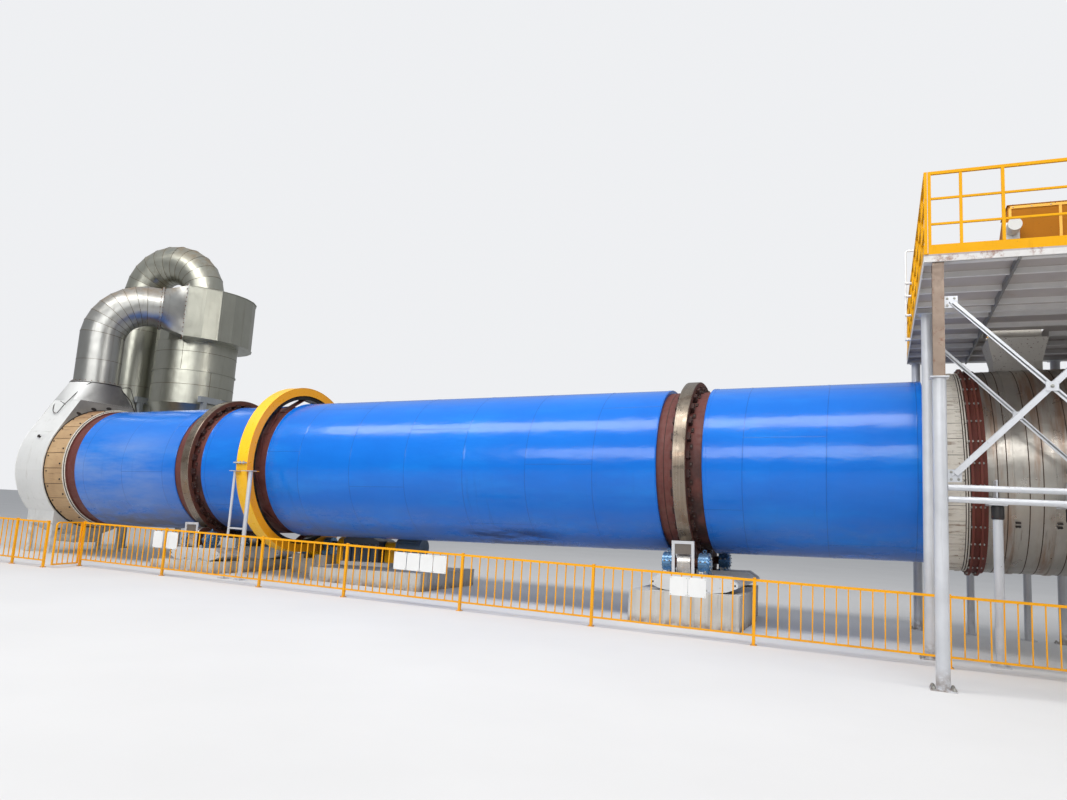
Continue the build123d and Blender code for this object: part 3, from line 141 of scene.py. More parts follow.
class Recipe(Nodes):
    """A material built from nodes, in metres of the frame at rest.

    A recipe with a radius has its sheet unrolled from the drum at that radius; otherwise the sheet is
    the plain place. The shade is the colour so far."""

    def __init__(self, name, radius=None):
        material = LOOK[name] = bpy.data.materials.new(name)
        super().__init__(material)
        self.shader = self.node("BsdfPrincipled")
        self.node("OutputMaterial", self.shader.outputs[0])
        self.place = self.sheet = self.node("TexCoord").outputs["Object"]
        self.x, self.y, self.z = self.node("SeparateXYZ", self.place).outputs
        if radius:
            self.round = self.product(self.math("ARCTAN2", self.y, self.over_axis()), radius)
            self.sheet = self.node("CombineXYZ", self.x, self.round, 0.0).outputs[0]

    def finish(self, **values):
        """Fill the shader's sockets, its colour with the shade."""
        for key, value in {"Base_Color": self.shade, **values}.items():
            self.put(self.shader, key.replace("_", " "), value)

    def math(self, operation, a, b=0.0):
        return self.node("Math", a, b, operation=operation).outputs[0]

    def sum(self, a, b):
        return self.math("ADD", a, b)

    def less(self, a, b):
        return self.math("LESS_THAN", a, b)

    def size(self, value):
        return self.math("ABSOLUTE", value)

    def product(self, first, *others):
        for value in others:
            first = self.math("MULTIPLY", first, value)
        return first

    def noise(self, scale, detail=4.0, rough=0.55, stretch=None, place=None):
        place = place or self.place
        if stretch:
            place = self.node("VectorMath", place, Vector(stretch), operation="MULTIPLY").outputs[0]
        node = self.node("TexNoise", place)
        for key, value in (("Scale", scale), ("Detail", detail), ("Roughness", rough)):
            self.put(node, key, value)
        return node.outputs[0]

    def on_sheet(self, *texture):
        return self.noise(*texture, place=self.sheet)

    def between(self, value, low, high, to_low=0.0, to_high=1.0):
        """Smooth step of value from low to high."""
        return self.node("MapRange", value, low, high, to_low, to_high, interpolation_type="SMOOTHSTEP").outputs[0]

    def spots(self, texture, low, high, share=1.0):
        """Noise in space, up to that share where it passes from low to high."""
        return self.between(self.noise(*texture), low, high, 0.0, share)

    def marks(self, texture, low, high, share=1.0):
        """The same on the sheet."""
        return self.between(self.on_sheet(*texture), low, high, 0.0, share)

    def varied(self, low, high, *texture):
        """Value that wanders from low to high."""
        return self.between(self.noise(*texture), 0.3, 0.7, low, high)

    def mix(self, share, a, b):
        node = self.node("Mix", share, data_type="RGBA")
        self.put(node, 6, a)
        self.put(node, 7, b)
        return node.outputs[2]

    def tone(self, share, dark, light):
        """Colour between two 8-bit ones, kept as the shade."""
        self.shade = self.mix(share, srgb(*dark), srgb(*light))
        return self.shade

    def stain(self, share, colour):
        """Lay an 8-bit colour over the shade."""
        self.shade = self.mix(share, self.shade, srgb(*colour))
        return self.shade

    def bump(self, height, distance, strength=1.0, under=None):
        node = self.node("Bump")
        for key, value in (("Height", height), ("Distance", distance), ("Strength", strength), ("Normal", under)):
            if value is not None:
                self.put(node, key, value)
        return node.outputs[0]

    def facing(self, axis):
        return self.node("SeparateXYZ", self.node("NewGeometry").outputs["Normal"]).outputs[axis]

    def over_axis(self, z=AXIS_Z):
        """Height above a line parallel to the drum's axis."""
        return self.math("SUBTRACT", self.math("SUBTRACT", self.z, z), self.product(self.x, SLOPE))

    def radius_from(self, y=0.0, z=AXIS_Z):
        beside = self.math("SUBTRACT", self.y, y)
        above = self.over_axis(z)
        return self.math("SQRT", self.sum(self.product(beside, beside), self.product(above, above)))


def painted(name, colour, rough, dust, dust_colour, rust, coat=0.0, metal=0.0, low_dirt=0.0, gloss=0.5):
    """Sprayed paint on steel: uneven tone, dust on what faces up, run marks, rust specks, dirt low down."""
    r = Recipe(name)
    colour = srgb(*colour)
    r.shade = r.mix(r.noise(1.3, 5.0), scaled(colour, 0.80), scaled(colour, 1.10))
    runs = r.spots((1.0, 6.0, 0.65, (9.0, 9.0, 0.7)), 0.52, 0.85, 0.35 + low_dirt * 0.3)
    r.shade = r.mix(runs, r.shade, scaled(colour, 0.55))
    film = r.product(r.between(r.facing("Z"), 0.25, 0.95), r.spots((4.0, 6.0, 0.6), 0.32, 0.68), dust)
    r.stain(film, dust_colour)
    if low_dirt:
        r.stain(r.product(r.between(r.z, 0.9, 0.0), r.spots((6.0, 5.0), 0.3, 0.7), low_dirt), (104, 92, 80))
    speck = r.product(r.spots((23.0, 8.0, 0.7), 0.68 - rust * 0.12, 0.78 - rust * 0.12), rust * 4.0)
    r.stain(r.math("MINIMUM", speck, 1.0), (96, 48, 26))
    coating = {"Coat_Weight": coat, "Coat_Roughness": 0.12} if coat else {}
    r.finish(Roughness=r.sum(r.product(r.noise(14.0, 5.0), 0.22), r.sum(rough - 0.11, r.product(film, 0.4))),
             Normal=r.bump(r.noise(3.0, 3.0), 0.010, 0.35, r.bump(r.noise(240.0, 3.0), 0.0006, 0.8)),
             Metallic=metal, Specular_IOR_Level=gloss, **coating)


def sheet_metal(name, colour, streak):
    """Stainless sheet that has stood outdoors: brushed, dulled, brown where dust settles."""
    r = Recipe(name)
    colour, brown = srgb(*colour), (128, 104, 74)
    r.shade = r.mix(r.noise(0.9, 6.0, 0.6), scaled(colour, 0.72), scaled(colour, 1.15))
    runs = r.spots((1.0, 7.0, 0.65, (7.0, 7.0, 0.35)), 0.50, 0.80, streak)
    r.shade = r.mix(runs, r.shade, scaled(srgb(*brown), 0.5))
    up = r.product(r.between(r.facing("Z"), 0.05, 0.9), r.spots((2.2, 7.0, 0.62), 0.30, 0.66), 0.8)
    r.stain(up, brown)
    brushed = r.noise(1.0, 3.0, 0.6, (60.0, 60.0, 900.0))
    r.finish(Roughness=r.sum(r.product(r.noise(5.0, 6.0), 0.30), r.sum(0.19, r.product(up, 0.35))),
             Normal=r.bump(r.noise(1.7, 3.0), 0.020, 0.4, r.bump(brushed, 0.0004, 0.7)),
             Metallic=r.math("SUBTRACT", 0.95, r.product(up, 0.8)))


def make_blue():
    """Gloss blue on thin sheet over lagging: waves, seams, fading and a painted sky reflection, low dust film,
    scuffs.
    """
    r = Recipe("drum_blue", 1.75)
    low = r.over_axis()
    r.tone(r.noise(0.35, 5.0, 0.6), (0, 92, 190), (0, 120, 222))
    r.stain(r.product(r.marks((0.5, 6.0, 0.65, (0.5, 2.0, 1.0)), 0.45, 0.75), 0.35), (22, 142, 232))
    # Pale grey-blue towards the discharge end and lower down: faded paint, together with a painted reflection of the
    # sky
    pale_fade_and_reflection = r.marks((0.8, 6.0, 0.6, (0.35, 1.6, 1.0)), 0.25, 0.70)
    r.stain(r.product(r.between(r.x, -12.2, -15.5), pale_fade_and_reflection, r.between(low, 1.2, 0.2), 0.62), (138, 160, 202))
    film = r.product(r.between(low, -0.75, -1.70), r.marks((1.1, 8.0, 0.68, (0.7, 1.6, 1.0)), 0.30, 0.62),
                     r.between(r.x, -3.0, -16.5, 0.30, 1.0))
    r.stain(film, (112, 110, 116))
    runs = r.marks((1.0, 7.0, 0.7, (5.0, 0.45, 1.0)), 0.56, 0.78)
    r.stain(r.product(runs, r.between(low, 0.6, -1.2), 0.4), (14, 66, 132))
    smear = r.marks((1.6, 6.0, 0.6, (0.6, 2.0, 1.0)), 0.38, 0.55)
    r.stain(r.product(r.between(r.x, -5.4, -4.6), r.between(r.x, -2.4, -3.6), r.between(low, -1.32, -1.48),
                      smear, 0.8), (6, 42, 96))
    r.stain(r.marks((2.1, 9.0, 0.75, (1.0, 3.0, 1.0)), 0.70, 0.76, 0.5), (176, 190, 214))

    def line(value, pitch, width):
        return r.between(r.math("PINGPONG", value, pitch / 2), width, 0.0)

    # Seams where the sheets lap round the drum, and along it, shifted from sheet to sheet
    along = r.sum(r.x, -FIRST_SEAM)
    sheet = r.math("FLOOR", r.math("DIVIDE", along, SHEET))
    shift = r.product(r.math("FRACT", r.product(sheet, 0.618)), 3.6)
    seams = r.math("MAXIMUM", line(along, SHEET, 0.012), line(r.sum(r.round, shift), 3.66, 0.010))
    r.stain(r.product(seams, 0.45), (10, 50, 110))
    waves = r.bump(r.on_sheet(1.0, 4.0, 0.55, (1.1, 2.2, 1.0)), 0.030, 0.55)
    quilting = r.bump(r.on_sheet(5.5, 3.0, 0.5), 0.0035, 0.5, waves)
    r.finish(Roughness=r.sum(r.product(r.noise(60.0, 4.0), 0.10), r.sum(0.16, r.product(film, 0.45))),
             Normal=r.bump(seams, 0.003, 0.8, quilting), Coat_Weight=0.22, Coat_Roughness=0.08,
             Specular_IOR_Level=0.32)


def make_primer():
    """Red-brown primer, matt, darker beside the rings and more so lower down, dusty in streaks along the turn."""
    r = Recipe("primer", 1.7)
    r.tone(r.on_sheet(2.0, 7.0, 0.65), (74, 32, 28), (118, 62, 54))
    r.stain(r.marks((1.0, 6.0, 0.7, (30.0, 0.8, 1.0)), 0.5, 0.8, 0.6), (58, 26, 22))
    r.stain(r.product(r.between(r.over_axis(), 0.2, -1.7), r.spots((5.0, 6.0), 0.35, 0.7), 0.5), (110, 84, 72))
    # Darker on the feed side of each ring, more so lower down
    near = r.math("MINIMUM", r.size(r.math("SUBTRACT", r.x, 0.30)), r.size(r.sum(r.x, 12.70)))
    r.stain(r.product(r.between(near, 0.30, 0.05), r.between(r.over_axis(), 0.9, -0.6),
                      r.spots((2.2, 6.0), 0.25, 0.6), 0.85), (34, 24, 22))
    r.finish(Roughness=r.varied(0.55, 0.8, 12.0),
             Normal=r.bump(r.noise(90.0, 4.0), 0.0012, 0.7, r.bump(r.noise(6.0, 4.0), 0.006, 0.5)))


def make_tread(name, y, z, edge, dull, bright, brown):
    """Forged steel: run bright on the tread, primed and greasy on the sides."""
    r = Recipe(name)
    worn = r.between(r.sum(r.radius_from(y, z), r.product(r.noise(40.0, 5.0), 0.004)), edge - 0.006, edge)
    bands = r.noise(1.0, 5.0, 0.7, (70.0, 0.4, 0.4))
    r.tone(bands, dull, bright)
    shine = r.stain(r.spots((2.6, 6.0), 0.48, 0.75, brown), (104, 76, 56))
    r.shade = r.mix(worn, r.tone(r.noise(5.0, 7.0, 0.7), (66, 34, 24), (104, 58, 42)), shine)
    r.finish(Roughness=r.math("SUBTRACT", r.varied(0.62, 0.78, 9.0), r.product(worn, 0.38)),
             Metallic=r.product(worn, 0.9),
             Normal=r.bump(bands, 0.0008, 0.6, r.bump(r.noise(70.0, 4.0), 0.0006, 0.6)))


def make_concrete():
    """Board-marked concrete with air holes, drips and dirty edges."""
    r = Recipe("concrete")
    r.tone(r.noise(1.6, 8.0, 0.65), (172, 169, 164), (214, 212, 207))
    boards = r.noise(1.0, 4.0, 0.6, (5.0, 5.0, 0.12))
    r.stain(r.between(boards, 0.48, 0.70, 0.0, 0.55), (146, 142, 136))
    r.stain(r.spots((1.0, 7.0, 0.7, (14.0, 14.0, 0.8)), 0.52, 0.80, 0.7), (120, 110, 98))
    r.stain(r.product(r.between(r.z, 0.22, 0.0), r.spots((8.0, 6.0), 0.2, 0.7), 0.8), (112, 84, 62))
    cells = r.node("TexVoronoi", r.place)
    r.put(cells, "Scale", 38.0)
    # Air holes: sunk by the bump, and darkened inside as painted shade in the pits
    holes = r.product(r.between(cells.outputs["Distance"], 0.16, 0.06), r.spots((3.0,), 0.5, 0.6))
    r.stain(r.product(holes, 0.7), (82, 78, 72))
    relief = r.sum(r.product(boards, 0.6), r.product(r.noise(30.0, 6.0), 0.3))
    height = r.math("SUBTRACT", relief, r.product(holes, 0.8))
    r.finish(Roughness=0.88, Normal=r.bump(height, 0.006, 0.9))


def make_gear_steel():
    """Cut steel teeth, black with grease."""
    r = Recipe("gear_steel")
    r.tone(r.noise(9.0, 6.0), (26, 24, 24), (84, 78, 72))
    wet = r.spots((3.0, 6.0), 0.4, 0.65)
    r.stain(r.product(wet, 0.7), (18, 14, 12))
    r.finish(Roughness=r.math("SUBTRACT", 0.6, r.product(wet, 0.35)), Metallic=0.7,
             Normal=r.bump(r.noise(40.0, 5.0), 0.002, 0.7))


def make_columns():
    """Silver paint on the tubes; the H stubs over the front caps are left in rusty primer."""
    r = Recipe("column_paint")
    r.tone(r.noise(2.0, 5.0), (178, 180, 184), (222, 224, 228))
    silver = r.stain(r.spots((1.0, 6.0, 0.7, (16.0, 16.0, 0.6)), 0.56, 0.8, 0.5), (128, 122, 116))
    r.tone(r.noise(4.0, 6.0), (112, 92, 78), (156, 138, 122))
    primer = r.stain(r.spots((9.0, 7.0, 0.7), 0.55, 0.7, 0.8), (110, 62, 38))
    r.shade = r.mix(r.product(r.math("GREATER_THAN", r.z, 4.2005), r.less(r.y, -4.0)), silver, primer)
    r.stain(r.product(r.between(r.z, 0.35, 0.0), r.spots((14.0, 5.0), 0.3, 0.6), 0.7), (120, 100, 84))
    r.finish(Roughness=r.varied(0.34, 0.5, 20.0), Metallic=0.25, Normal=r.bump(r.noise(120.0, 3.0), 0.0008, 0.6))


def make_deck():
    """Chequer plate on top; stained plate and pale joists below; rust along the front edge."""
    r = Recipe("deck_plate")
    r.tone(r.noise(1.2, 7.0, 0.6), (158, 151, 148), (186, 178, 174))
    plate = r.stain(r.spots((2.2, 8.0, 0.7), 0.60, 0.74, 0.3), (150, 118, 96))
    joists = r.tone(r.noise(3.0, 6.0, 0.6), (196, 193, 190), (224, 222, 220))
    r.shade = r.mix(r.less(r.z, 5.925), plate, joists)
    up = r.facing("Z")
    edge = r.product(r.spots((5.0, 8.0, 0.75), 0.50, 0.64), r.less(r.size(up), 0.5), r.less(r.y, -5.17))
    below = r.stain(r.product(edge, 0.75), (128, 74, 44))
    top = r.math("GREATER_THAN", up, 0.5)
    r.shade = r.mix(top, below, r.tone(r.noise(2.5, 7.0, 0.65), (104, 98, 92), (150, 142, 132)))
    slants = [r.math("PINGPONG", r.math(way, r.x, r.y), 0.03) for way in ("ADD", "SUBTRACT")]
    diamonds = r.math("MAXIMUM", *(r.product(r.between(a, 0.006, 0.001), r.between(b, 0.010, 0.024))
                                   for a, b in (slants, slants[::-1])))
    r.finish(Roughness=0.62, Metallic=0.1,
             Normal=r.bump(r.product(diamonds, top), 0.002, 0.9, r.bump(r.noise(60.0, 4.0), 0.0008, 0.6)))


def make_feed_seal():
    """Off-white paint burnt and rust-stained between the leaves."""
    r = Recipe("feed_seal_paint", 1.87)
    r.tone(r.on_sheet(2.0, 7.0, 0.65), (190, 182, 168), (230, 225, 214))
    r.stain(r.marks((1.0, 8.0, 0.72, (1.2, 9.0, 1.0)), 0.50, 0.66, 0.85), (112, 84, 60))
    r.stain(r.marks((6.0, 8.0, 0.75), 0.60, 0.68, 0.9), (64, 44, 34))
    r.finish(Roughness=0.72, Normal=r.bump(r.noise(40.0, 5.0), 0.002, 0.7))


def make_tan():
    """Tan, baked leaves of the discharge seal."""
    r = Recipe("seal_tan", 1.77)
    r.tone(r.on_sheet(1.5, 7.0, 0.6), (148, 116, 82), (206, 174, 132))
    r.stain(r.marks((1.0, 7.0, 0.7, (2.0, 14.0, 1.0)), 0.52, 0.74, 0.7), (104, 76, 54))
    r.stain(r.product(r.between(r.over_axis(), 1.2, 1.75), r.noise(6.0, 6.0)), (112, 62, 40))
    r.finish(Roughness=0.7, Normal=r.bump(r.on_sheet(1.0, 6.0, 0.7, (8.0, 60.0, 1.0)), 0.003, 0.7))


def make_chamber():
    """Stainless jacket with brown heat bands round it."""
    r = Recipe("chamber_jacket", 1.89)
    r.tone(r.on_sheet(0.9, 7.0, 0.6), (128, 122, 112), (206, 202, 194))
    r.stain(r.marks((1.0, 6.0, 0.65, (3.4, 0.35, 1.0)), 0.46, 0.72, 0.75), (140, 96, 62))
    r.stain(r.marks((1.0, 8.0, 0.7, (10.0, 0.8, 1.0)), 0.58, 0.74, 0.7), (82, 62, 48))
    brushed = r.bump(r.on_sheet(1.0, 3.0, 0.6, (800.0, 12.0, 1.0)), 0.0003, 0.7)
    r.finish(Roughness=r.varied(0.26, 0.46, 4.0, 6.0), Metallic=0.85,
             Normal=r.bump(r.on_sheet(1.0, 4.0, 0.5, (1.5, 2.0, 1.0)), 0.022, 0.5, brushed))


def make_gearbox():
    """Dark blue-grey casing on a bed that is left white."""
    r = Recipe("gearbox_paint")
    casing = r.tone(r.noise(3.0, 6.0), (44, 58, 76), (70, 86, 104))
    bed = r.tone(r.noise(2.0, 6.0), (196, 196, 194), (224, 224, 222))
    r.shade = r.mix(r.less(r.over_axis(), -2.404), casing, bed)
    up = r.product(r.between(r.facing("Z"), 0.3, 0.95), r.spots((5.0, 6.0), 0.35, 0.7), 0.7)
    r.stain(up, (122, 112, 100))
    r.stain(r.spots((1.0, 6.0, 0.7, (12.0, 12.0, 1.2)), 0.58, 0.75, 0.7), (26, 24, 24))
    r.finish(Roughness=r.sum(0.30, r.product(up, 0.4)), Normal=r.bump(r.noise(110.0, 3.0), 0.001, 0.6))


def make_guard():
    """Yellow of the gear guard, its rim painted paler than its flanks as painted light; the lugs at its joints are
    left silver.
    """
    r = Recipe("guard_paint")
    # Flanks in the plain yellow; the rim, every face not facing along X, in a paler copy of it: painted light
    flank = r.tone(r.noise(1.4, 5.0), (240, 152, 2), (252, 172, 6))
    rim = r.tone(r.noise(1.4, 5.0), (250, 184, 8), (255, 204, 30))
    r.shade = r.mix(r.less(r.size(r.facing("X")), 0.6), flank, rim)
    r.stain(r.spots((1.0, 6.0, 0.65, (9.0, 9.0, 0.7)), 0.52, 0.85, 0.3), (196, 128, 20))
    r.stain(r.spots((30.0, 7.0, 0.7), 0.66, 0.74, 0.5), (120, 72, 30))
    lug = r.product(r.math("GREATER_THAN", r.radius_from(), 2.212), r.less(r.size(r.over_axis()), 0.32))
    r.stain(lug, (176, 178, 180))
    r.finish(Roughness=r.varied(0.26, 0.42, 14.0, 5.0), Coat_Weight=0.3, Coat_Roughness=0.12,
             Normal=r.bump(r.noise(3.0, 3.0), 0.012, 0.4, r.bump(r.noise(240.0, 3.0), 0.0006, 0.8)))


def make_hood():
    """Off-white paint, the front above the seal dulled dark grey by smoke, rust in runs."""
    r = Recipe("hood_paint")
    r.tone(r.noise(1.1, 6.0), (206, 207, 205), (232, 232, 230))
    pale = r.stain(r.spots((1.0, 6.0, 0.68, (8.0, 8.0, 0.6)), 0.54, 0.82, 0.45), (150, 140, 124))
    r.tone(r.noise(2.4, 7.0, 0.65), (104, 103, 102), (150, 149, 146))
    smoke = r.stain(r.product(r.between(r.z, 4.52, 4.64), r.between(r.y, -0.7, 0.1)), (92, 90, 90))
    r.shade = r.mix(r.product(r.between(r.facing("X"), 0.35, 0.8), r.between(r.z, 3.2, 4.0)), pale, smoke)
    r.stain(r.spots((19.0, 8.0, 0.72), 0.66, 0.74, 0.7), (120, 84, 58))
    r.stain(r.product(r.between(r.z, 1.4, 0.2), r.spots((5.0, 6.0), 0.3, 0.7), 0.6), (112, 98, 84))
    r.stain(r.product(r.between(r.facing("Z"), 0.5, 0.95), r.spots((4.0, 6.0), 0.35, 0.65), 0.5), (140, 128, 112))
    r.finish(Roughness=r.varied(0.36, 0.6, 9.0, 5.0), Metallic=0.15,
             Normal=r.bump(r.noise(1.6, 3.0), 0.018, 0.5, r.bump(r.noise(160.0, 3.0), 0.0008, 0.7)))


for make in (make_blue, make_primer, make_concrete, make_gear_steel, make_columns, make_deck, make_feed_seal,
             make_tan, make_chamber, make_gearbox, make_guard, make_hood):
    make()
make_tread("ring_steel", 0.0, AXIS_Z, RING_EDGE * SLANT, (84, 70, 58), (178, 166, 150), 0.6)
for name, side in (("front_tread", -1), ("back_tread", 1)):
    make_tread(name, side * ROLLER_Y, AXIS_Z + ROLLER_Z * SLANT, ROLLER_EDGE, (150, 146, 140), (226, 223, 218), 0.15)
sheet_metal("duct_steel", (178, 178, 166), 0.35)
sheet_metal("riser_steel", (172, 172, 168), 0.45)

# Name, colour, roughness, dust and its colour, rust, and what else differs from plain paint
for name, colour, rough, dust, dust_colour, rust, others in (
        ("guard_yellow", (252, 176, 4), 0.34, 0.2, (150, 120, 80), 0.15, {"coat": 0.15, "gloss": 0.25}),
        ("fence_yellow", (246, 170, 12), 0.42, 0.2, (150, 120, 80), 0.25, {"low_dirt": 0.2, "gloss": 0.25}),
        ("rail_yellow", (232, 166, 0), 0.45, 0.1, (150, 120, 80), 0.2, {"gloss": 0.15}),
        ("conveyor_rim", (238, 176, 60), 0.40, 0.3, (140, 118, 90), 0.5, {}),
        ("conveyor_yellow", (164, 100, 6), 0.55, 0.4, (130, 108, 84), 0.6, {"gloss": 0.15}),
        ("silver_paint", (206, 208, 212), 0.34, 0.25, (130, 122, 112), 0.35, {"metal": 0.25, "low_dirt": 0.3}),
        ("frame_white", (204, 206, 208), 0.40, 0.75, (126, 112, 98), 0.45, {"low_dirt": 0.1}),
        ("bearing_blue", (96, 142, 184), 0.26, 0.35, (130, 124, 118), 0.2, {"coat": 0.3, "metal": 0.45}),
        ("hood_grey", (196, 199, 198), 0.38, 0.5, (134, 124, 108), 0.45, {"metal": 0.2, "low_dirt": 0.4}),
        ("motor_grey", (96, 118, 138), 0.38, 0.6, (118, 108, 98), 0.3, {}),
        ("motor_white", (208, 208, 204), 0.4, 0.4, (130, 120, 106), 0.4, {}),
        ("chute_white", (206, 201, 192), 0.5, 0.4, (140, 118, 92), 0.7, {}),
        ("stand_grey", (138, 142, 144), 0.42, 0.4, (124, 112, 98), 0.5, {"low_dirt": 0.4}),
        ("flange_rust", (104, 44, 34), 0.66, 0.4, (128, 104, 88), 1.2, {}),
        # Near-black for the ring pads and the wedges and bands beside them, over what is primer: painted shade under
        # the rings
        ("pads_in_painted_shade", (54, 26, 22), 0.7, 0.5, (110, 84, 70), 0.8, {}),
        ("dark_steel", (44, 42, 42), 0.5, 0.4, (104, 94, 84), 0.8, {"metal": 0.3}),
        ("bolt_zinc", (168, 168, 162), 0.36, 0.4, (120, 108, 94), 0.8, {"metal": 0.75}),
        ("bolt_dull", (96, 88, 82), 0.5, 0.4, (110, 96, 84), 1.0, {"metal": 0.5}),
        ("bolt_rusty", (112, 78, 56), 0.62, 0.4, (120, 104, 88), 1.3, {"metal": 0.3}),
        ("seal_white", (214, 208, 196), 0.5, 0.3, (140, 118, 92), 0.8, {}),
        ("mesh_grey", (120, 112, 105), 0.5, 0.3, (120, 110, 100), 0.5, {}),
        ("rib_grey", (120, 118, 114), 0.55, 0.3, (120, 110, 100), 0.5, {}),
        ("weld_brown", (96, 86, 68), 0.5, 0.3, (110, 96, 76), 0.6, {"metal": 0.5}),
        ("strap_brown", (74, 58, 46), 0.5, 0.3, (110, 96, 76), 0.8, {"metal": 0.4}),
        # Near-black under the discharge seal boards, so the gaps between them read dark: painted shade
        ("board_gap_shade", (48, 38, 32), 0.7, 0.2, (100, 84, 66), 0.8, {}),
        # Dark under the feed seal leaves, so the pointed gaps between them read dark: painted shade
        ("leaf_gap_shade", (64, 54, 46), 0.7, 0.2, (100, 84, 66), 0.8, {}),
        ("plate_white", (232, 232, 230), 0.4, 0.1, (150, 140, 128), 0.1, {})):
    painted(name, colour, rough, dust, dust_colour, rust, **others)

# Look of each node of the CAD
for look, names in (
        ("primer", "drum_shell gear_spring_plates discharge_wear_ring"), ("drum_blue", "drum_sleeves"),
        ("ring_steel", "riding_rings"), ("pads_in_painted_shade", "ring_pads"), ("gear_steel", "girth_gear pinion"),
        ("front_tread", "feed_front_roller discharge_front_roller"),
        ("back_tread", "feed_back_roller discharge_back_roller"),
        ("bearing_blue", "roller_bearings pinion_bearings"), ("frame_white", "base_frames"),
        ("gearbox_paint", "gearbox"),
        ("silver_paint", "roller_guards gear_guard_posts chamber_legs platform_bracing"),
        ("concrete", "concrete_piers"), ("guard_paint", "gear_guard_upper gear_guard_lower"),
        # The discharge leaf seal under the boards takes the near-black of painted shade
        ("motor_grey", "drive_motor"), ("guard_yellow", "coupling_guard"), ("board_gap_shade", "discharge_leaf_seal"),
        ("hood_grey", "discharge_hood"), ("riser_steel", "exhaust_riser inlet_transition"),
        ("duct_steel", "cyclone_head cyclone_body outlet_duct"), ("stand_grey", "cyclone_stand"),
        # The feed leaf seal under the leaves takes the dark of painted shade
        ("leaf_gap_shade", "feed_leaf_seal"), ("flange_rust", "feed_flange_rings"),
        ("chamber_jacket", "chamber_shell chamber_end_wall"), ("chute_white", "feed_chute"),
        ("column_paint", "platform_columns"), ("deck_plate", "platform_deck"), ("rail_yellow", "platform_railings"),
        ("conveyor_yellow", "conveyor_head"), ("motor_white", "conveyor_motor"),
        ("fence_yellow", "walkway_fence gate_leaf")):
    for name in names.split():
        for slot in nodes[name].material_slots:
            slot.material = LOOK[look]


# Detail pieces, in the same frame as the CAD
UP = (0, 0, 1)


def turns(count, shift=0.0):
    """Angles spaced evenly over a full turn."""
    return [2 * math.pi * (k + shift) / count for k in range(count)]


def ngon(count, radius):
    return [(radius * math.cos(t), radius * math.sin(t)) for t in turns(count)]


def spot(point, direction, base=Matrix()):
    """Matrix at a point, its local Z along a direction."""
    return base @ Matrix.Translation(point) @ Vector(direction).to_track_quat("Z", "Y").to_matrix().to_4x4()


def turned(degrees, axis, place=(0, 0, 0)):
    return Matrix.Translation(place) @ Matrix.Rotation(math.radians(degrees), 4, axis)


def on_drum(x, radius, degrees, facing=0):
    """Matrix on the drum: local Z points outward, or along X when facing is 1 or -1."""
    place = DRUM @ turned(degrees, "X") @ Matrix.Translation((x, radius, 0))
    return place @ (turned(90 * facing, "Y") if facing else turned(-90, "X"))


def circle(centre, radius, across=(1, 0, 0), up=(0, 1, 0), steps=48):
    """Points round a centre in the plane of two directions."""
    centre, across, up = Vector(centre), Vector(across), Vector(up)
    return [centre + across * a + up * b for a, b in ngon(steps, radius)]


